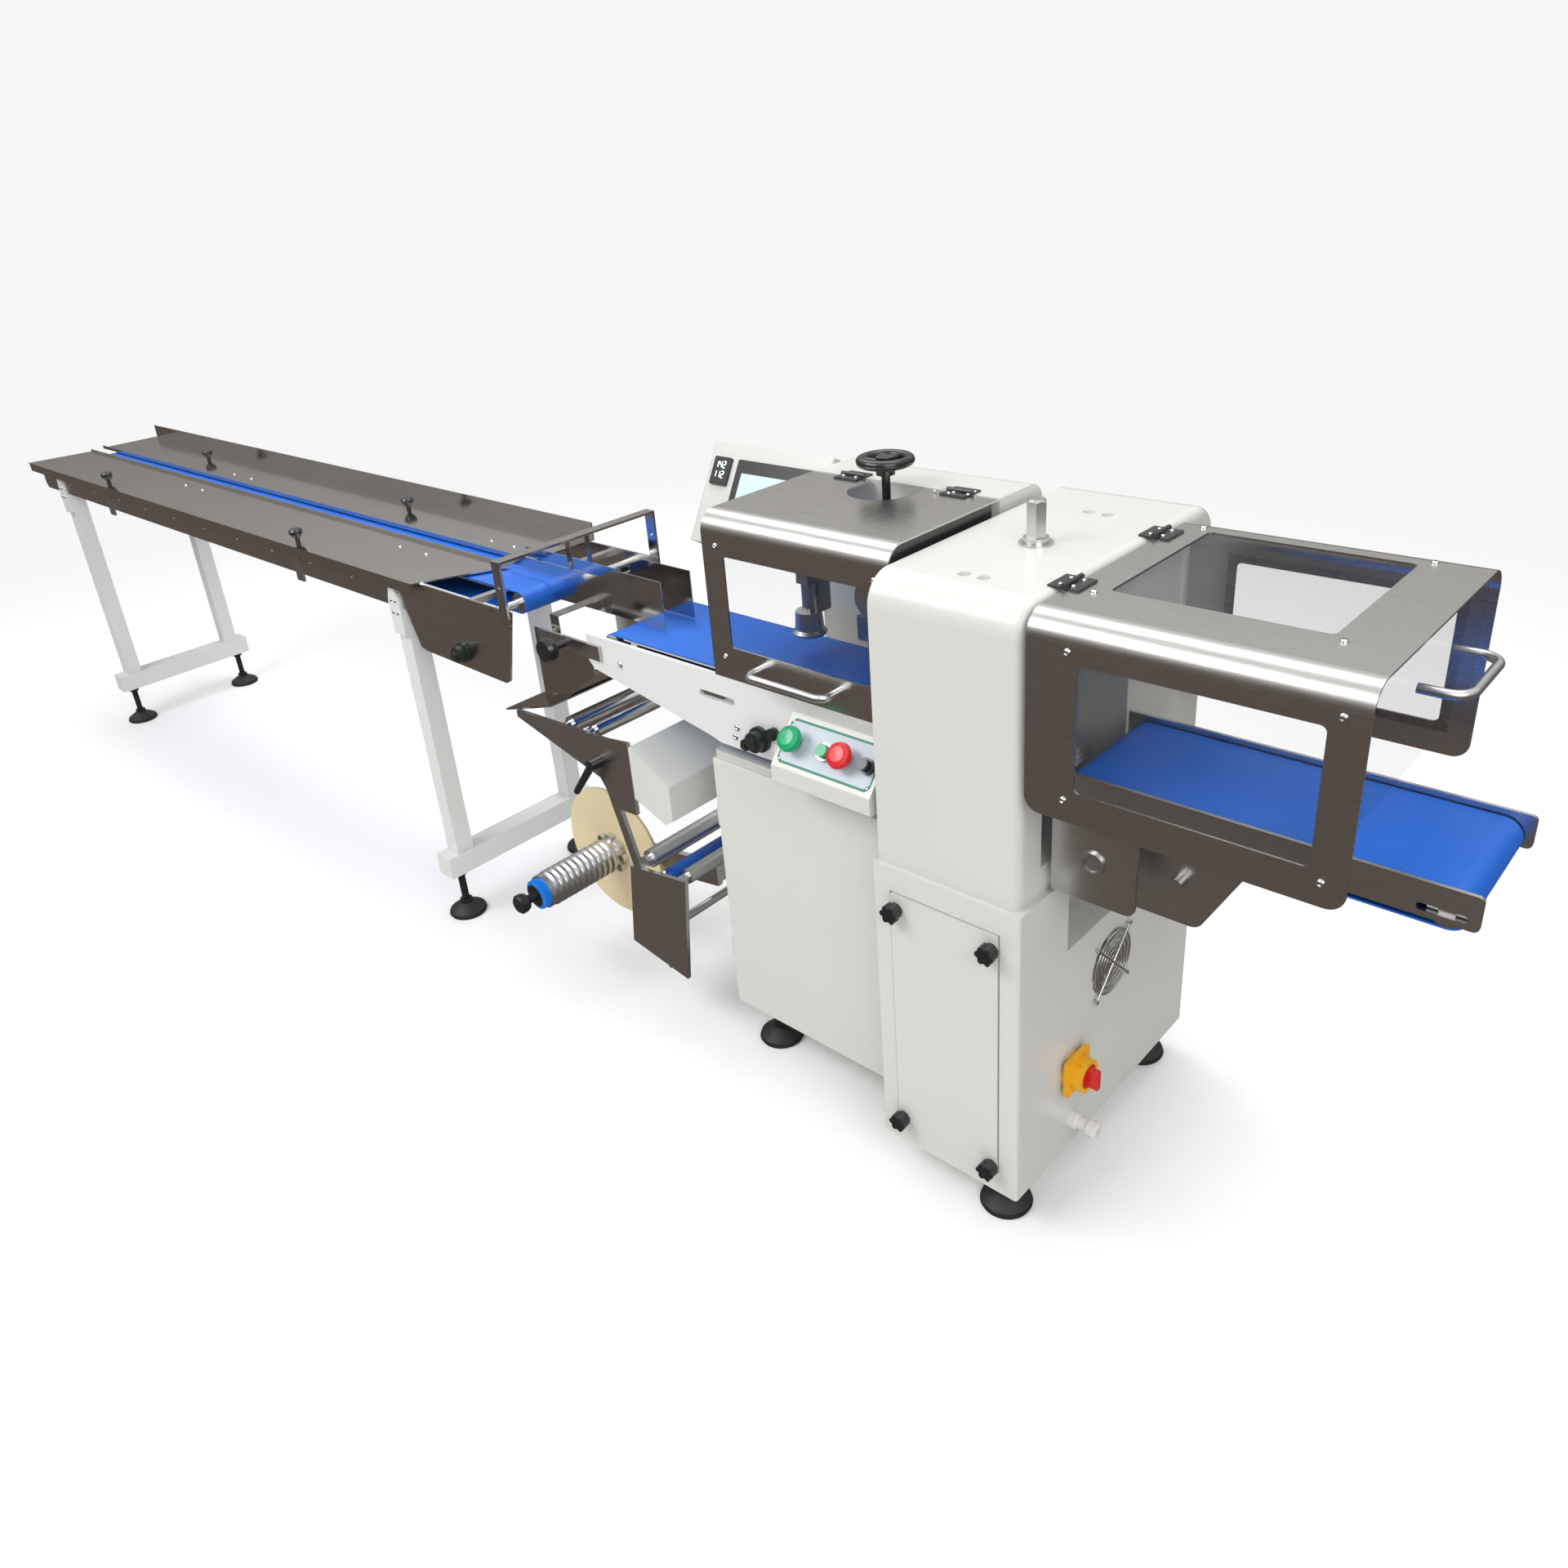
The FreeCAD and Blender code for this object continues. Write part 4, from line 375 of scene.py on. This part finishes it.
for name, look, slot, inset, lift in (("panel_border_sheet", RIM, "green_plastic", 0.0, BORDER_LIFT),
                                      ("panel_face_sheet", FACE, "grey_paint", FACE_INSET, FACE_LIFT)):
    low, high = SHEET_FROM + inset, SHEET_TO - inset
    margin = SHEET_MARGIN + inset * FACE_NARROWING * MM
    left, right = x0 + margin, x1 - margin
    step = SHEET_CHAMFER / math.hypot(SLOPE_RUN, SLOPE_RISE)
    shape = [(left + SHEET_CHAMFER, low), (right - SHEET_CHAMFER, low), (right, low + step), (right, high - step),
             (right - SHEET_CHAMFER, high), (left + SHEET_CHAMFER, high), (left, high - step), (left, low + step)]
    bm = bmesh.new()
    slab(bm, [on_slope(x, share, lift - SHEET_SUNK) for x, share in shape], slope_normal, SHEET_THICK)
    piece(name, bm, "machine", look, False)
columns = (x0 + PANEL_SCREW_INSET, x1 - PANEL_SCREW_INSET)
corners = [on_slope(x, share, PANEL_SCREW_LIFT) for x in columns for share in PANEL_SCREW_ROWS]
screws("panel_face_screws", "machine", PANEL_SCREW_R, [(corners, slope_normal)])

# ---------------------------------------------------------------- displays
SEGMENTS = {"1": "bc", "2": "abged", "4": "fgbc", "8": "abcdefg"}
BARS = {"a": (0, 1, 1), "b": (0.5, 0.5, 0), "c": (0.5, -0.5, 0), "d": (0, -1, 1), "e": (-0.5, -0.5, 0),
        "f": (-0.5, 0.5, 0), "g": (0, 0, 1)}
FIGURE_WIDE, FIGURE_PITCH = 0.5, 1.55
BAR_THICK, FLAT_BAR, UPRIGHT_BAR = 0.09, 0.4, 0.2
FIGURE_RAISED = 0.3 * MM
HMI_TILT = math.radians(29)
FRONT_EDGE = 1 * MM
FIELD_CORNERS, FIELD_LIFT = ((90, 48), (246, 48), (246, 136), (90, 136)), 4.0
COUNTER_X, COUNTER_LIFT, COUNTER_HIGH = 25, 5.1, 12 * MM
METER_BEYOND = 20 * MM
METER_X, METER_OUT, METER_HIGH = 9 * MM, 0.1 * MM, 14 * MM


def digits(name, text, origin, across, up, high, look):
    """Seven-segment figures on a display."""
    bm = bmesh.new()
    away = across.cross(up).normalized()
    wide, thick = high * FIGURE_WIDE, high * BAR_THICK
    for i, figure in enumerate(text):
        middle = origin + across * (i * wide * FIGURE_PITCH)
        for key in SEGMENTS[figure]:
            px, pz, flat = BARS[key]
            c = middle + across * (px * wide) + up * (pz * high / 2)
            a, b = (wide * FLAT_BAR, thick) if flat else (thick, high * UPRIGHT_BAR)
            ring = [c - across * a - up * b, c + across * a - up * b, c + across * a + up * b, c - across * a + up * b]
            slab(bm, ring, away, FIGURE_RAISED)
    piece(name, bm, "machine", look, False)


x0, x1, y0, y1, z0, z1 = span("hmi_box")
hmi_up = Vector((0, math.sin(HMI_TILT), math.cos(HMI_TILT)))
hmi_out = X.cross(hmi_up).normalized()
low_z = min(v.co.z for v in NODES["hmi_box"].data.vertices if v.co.y < y0 + FRONT_EDGE)
hmi_corner = Vector((x0, y0, low_z))


def on_hmi(dx, dz, lift):
    """Point on the terminal's tilted face, in mm from its lower left corner."""
    return hmi_corner + X * (dx * MM) + hmi_up * (dz * MM) + hmi_out * (lift * MM)


bm = bmesh.new()
slab(bm, [on_hmi(x, z, FIELD_LIFT) for x, z in FIELD_CORNERS], hmi_out, FIGURE_RAISED)
piece("touch_field", bm, "machine", LIT, False)
for name, text, dz in (("count_digits", "142", 146), ("set_digits", "112", 128)):
    digits(name, text, on_hmi(COUNTER_X, dz, COUNTER_LIFT), X, hmi_up, COUNTER_HIGH, PALE_DIGIT)
meter = [v.co for v in NODES["displays"].data.vertices if v.co.x > x1 + METER_BEYOND]
meter_x, meter_y = min(v.x for v in meter), min(v.y for v in meter)
meter_z = (min(v.z for v in meter) + max(v.z for v in meter)) / 2
meter_corner = Vector((meter_x + METER_X, meter_y - METER_OUT, meter_z + METER_HIGH))
digits("meter_digits", "128", meter_corner, X, Z, METER_HIGH, RED_DIGIT)

# ---------------------------------------------------------------- floor, light and camera
FLOOR_HALF, FLOOR_CELLS = 9.0, 4
FLOOR_COLOR, FLOOR_ROUGHNESS = (0.90, 0.90, 0.90, 1), 0.8
FADE_FROM, FADE_TO = 2.0, 4.6
REFLECTED_FLOOR = (0.13, 0.105, 0.09, 1)
LOW_WORLD, MIDDLE_WORLD, HIGH_WORLD = (0.14, 0.12, 0.105, 1), (0.30, 0.28, 0.26, 1), (0.95, 0.95, 0.95, 1)
MIDDLE_AT, HIGH_AT = 0.16, 0.55
WORLD_STRENGTH = 0.9
BACKDROP = (0.93, 0.93, 0.93, 1)
CAMERA_AT = (2.208, -1.382, 1.550)
CAMERA_RIGHT = Vector((0.7450, 0.6635, -0.0673))
CAMERA_DOWN = Vector((0.2432, -0.3643, -0.8988))
CAMERA_AHEAD = Vector((-0.6211, 0.6535, -0.4332))
LENS, SENSOR_WIDE, SHIFT_X, SHIFT_Y = 28.0, 36.0, -0.0109, -0.0401


def ray_mix(tree, flag, plain, seen, out_socket):
    """Use one shader for a kind of ray and another for the rest."""
    path = tree.nodes.new("ShaderNodeLightPath")
    mix = tree.nodes.new("ShaderNodeMixShader")
    tree.links.new(path.outputs[flag], mix.inputs[0])
    tree.links.new(plain, mix.inputs[1])
    tree.links.new(seen, mix.inputs[2])
    tree.links.new(mix.outputs[0], out_socket)


bm = bmesh.new()
bmesh.ops.create_grid(bm, x_segments=FLOOR_CELLS, y_segments=FLOOR_CELLS, size=FLOOR_HALF)
mesh = bpy.data.meshes.new("floor")
bm.to_mesh(mesh)
bm.free()
floor = bpy.data.objects.new("floor", mesh)
bpy.context.scene.collection.objects.link(floor)
floor_look = bpy.data.materials.new("pale_floor")
floor_look.use_nodes = True
tree = floor_look.node_tree
body = tree.nodes["Principled BSDF"]
body.inputs["Base Color"].default_value = FLOOR_COLOR
body.inputs["Roughness"].default_value = FLOOR_ROUGHNESS
dark = tree.nodes.new("ShaderNodeEmission")
dark.inputs["Color"].default_value = REFLECTED_FLOOR
clear = tree.nodes.new("ShaderNodeBsdfTransparent")
place = tree.nodes.new("ShaderNodeTexCoord")
reach = tree.nodes.new("ShaderNodeVectorMath")
reach.operation = "LENGTH"
tree.links.new(place.outputs["Object"], reach.inputs[0])
edge = tree.nodes.new("ShaderNodeMapRange")
edge.interpolation_type = "SMOOTHSTEP"
edge.inputs["From Min"].default_value = FADE_FROM
edge.inputs["From Max"].default_value = FADE_TO
tree.links.new(reach.outputs["Value"], edge.inputs["Value"])
fade = tree.nodes.new("ShaderNodeMixShader")
tree.links.new(edge.outputs[0], fade.inputs[0])
tree.links.new(body.outputs[0], fade.inputs[1])
tree.links.new(clear.outputs[0], fade.inputs[2])
ray_mix(tree, "Is Glossy Ray", fade.outputs[0], dark.outputs[0], tree.nodes["Material Output"].inputs["Surface"])
mesh.materials.append(floor_look)

world = bpy.data.worlds.new("studio")
bpy.context.scene.world = world
world.use_nodes = True
tree = world.node_tree
tree.nodes.clear()
result = tree.nodes.new("ShaderNodeOutputWorld")
place = tree.nodes.new("ShaderNodeTexCoord")
split = tree.nodes.new("ShaderNodeSeparateXYZ")
tree.links.new(place.outputs["Generated"], split.inputs[0])
ramp = tree.nodes.new("ShaderNodeValToRGB")
ramp.color_ramp.elements[0].position = 0.0
ramp.color_ramp.elements[0].color = LOW_WORLD
ramp.color_ramp.elements[1].position = HIGH_AT
ramp.color_ramp.elements[1].color = HIGH_WORLD
middle = ramp.color_ramp.elements.new(MIDDLE_AT)
middle.color = MIDDLE_WORLD
tree.links.new(split.outputs["Z"], ramp.inputs[0])
around = tree.nodes.new("ShaderNodeBackground")
around.inputs["Strength"].default_value = WORLD_STRENGTH
tree.links.new(ramp.outputs[0], around.inputs["Color"])
seen = tree.nodes.new("ShaderNodeBackground")
seen.inputs["Color"].default_value = BACKDROP
ray_mix(tree, "Is Camera Ray", around.outputs[0], seen.outputs[0], result.inputs["Surface"])


def area_light(name, place, aim, size, energy):
    """Rectangular light at a place, turned towards its aim."""
    data = bpy.data.lights.new(name, "AREA")
    data.shape = "RECTANGLE"
    data.size, data.size_y = size
    data.energy = energy
    obj = bpy.data.objects.new(name, data)
    bpy.context.scene.collection.objects.link(obj)
    obj.location = place
    obj.rotation_euler = (Vector(aim) - Vector(place)).to_track_quat("-Z", "Y").to_euler()


area_light("key", (-0.6, -2.8, 3.6), (0.4, 0, 0.6), (3.0, 1.6), 95)
area_light("fill", (3.6, -1.6, 2.4), (0.8, 0, 0.6), (2.0, 2.0), 45)
area_light("top", (0.0, 0.8, 4.2), (0, 0, 0.5), (5.0, 1.6), 80)

camera = bpy.data.objects.new("camera", bpy.data.cameras.new("camera"))
bpy.context.scene.collection.objects.link(camera)
camera_turn = Matrix((CAMERA_RIGHT, -CAMERA_DOWN, -CAMERA_AHEAD)).transposed().to_4x4()
camera.matrix_world = Matrix.Translation(CAMERA_AT) @ camera_turn
camera.data.lens = LENS
camera.data.sensor_width = SENSOR_WIDE
camera.data.shift_x = SHIFT_X
camera.data.shift_y = SHIFT_Y
bpy.context.scene.camera = camera
bpy.context.scene.view_settings.view_transform = "Standard"
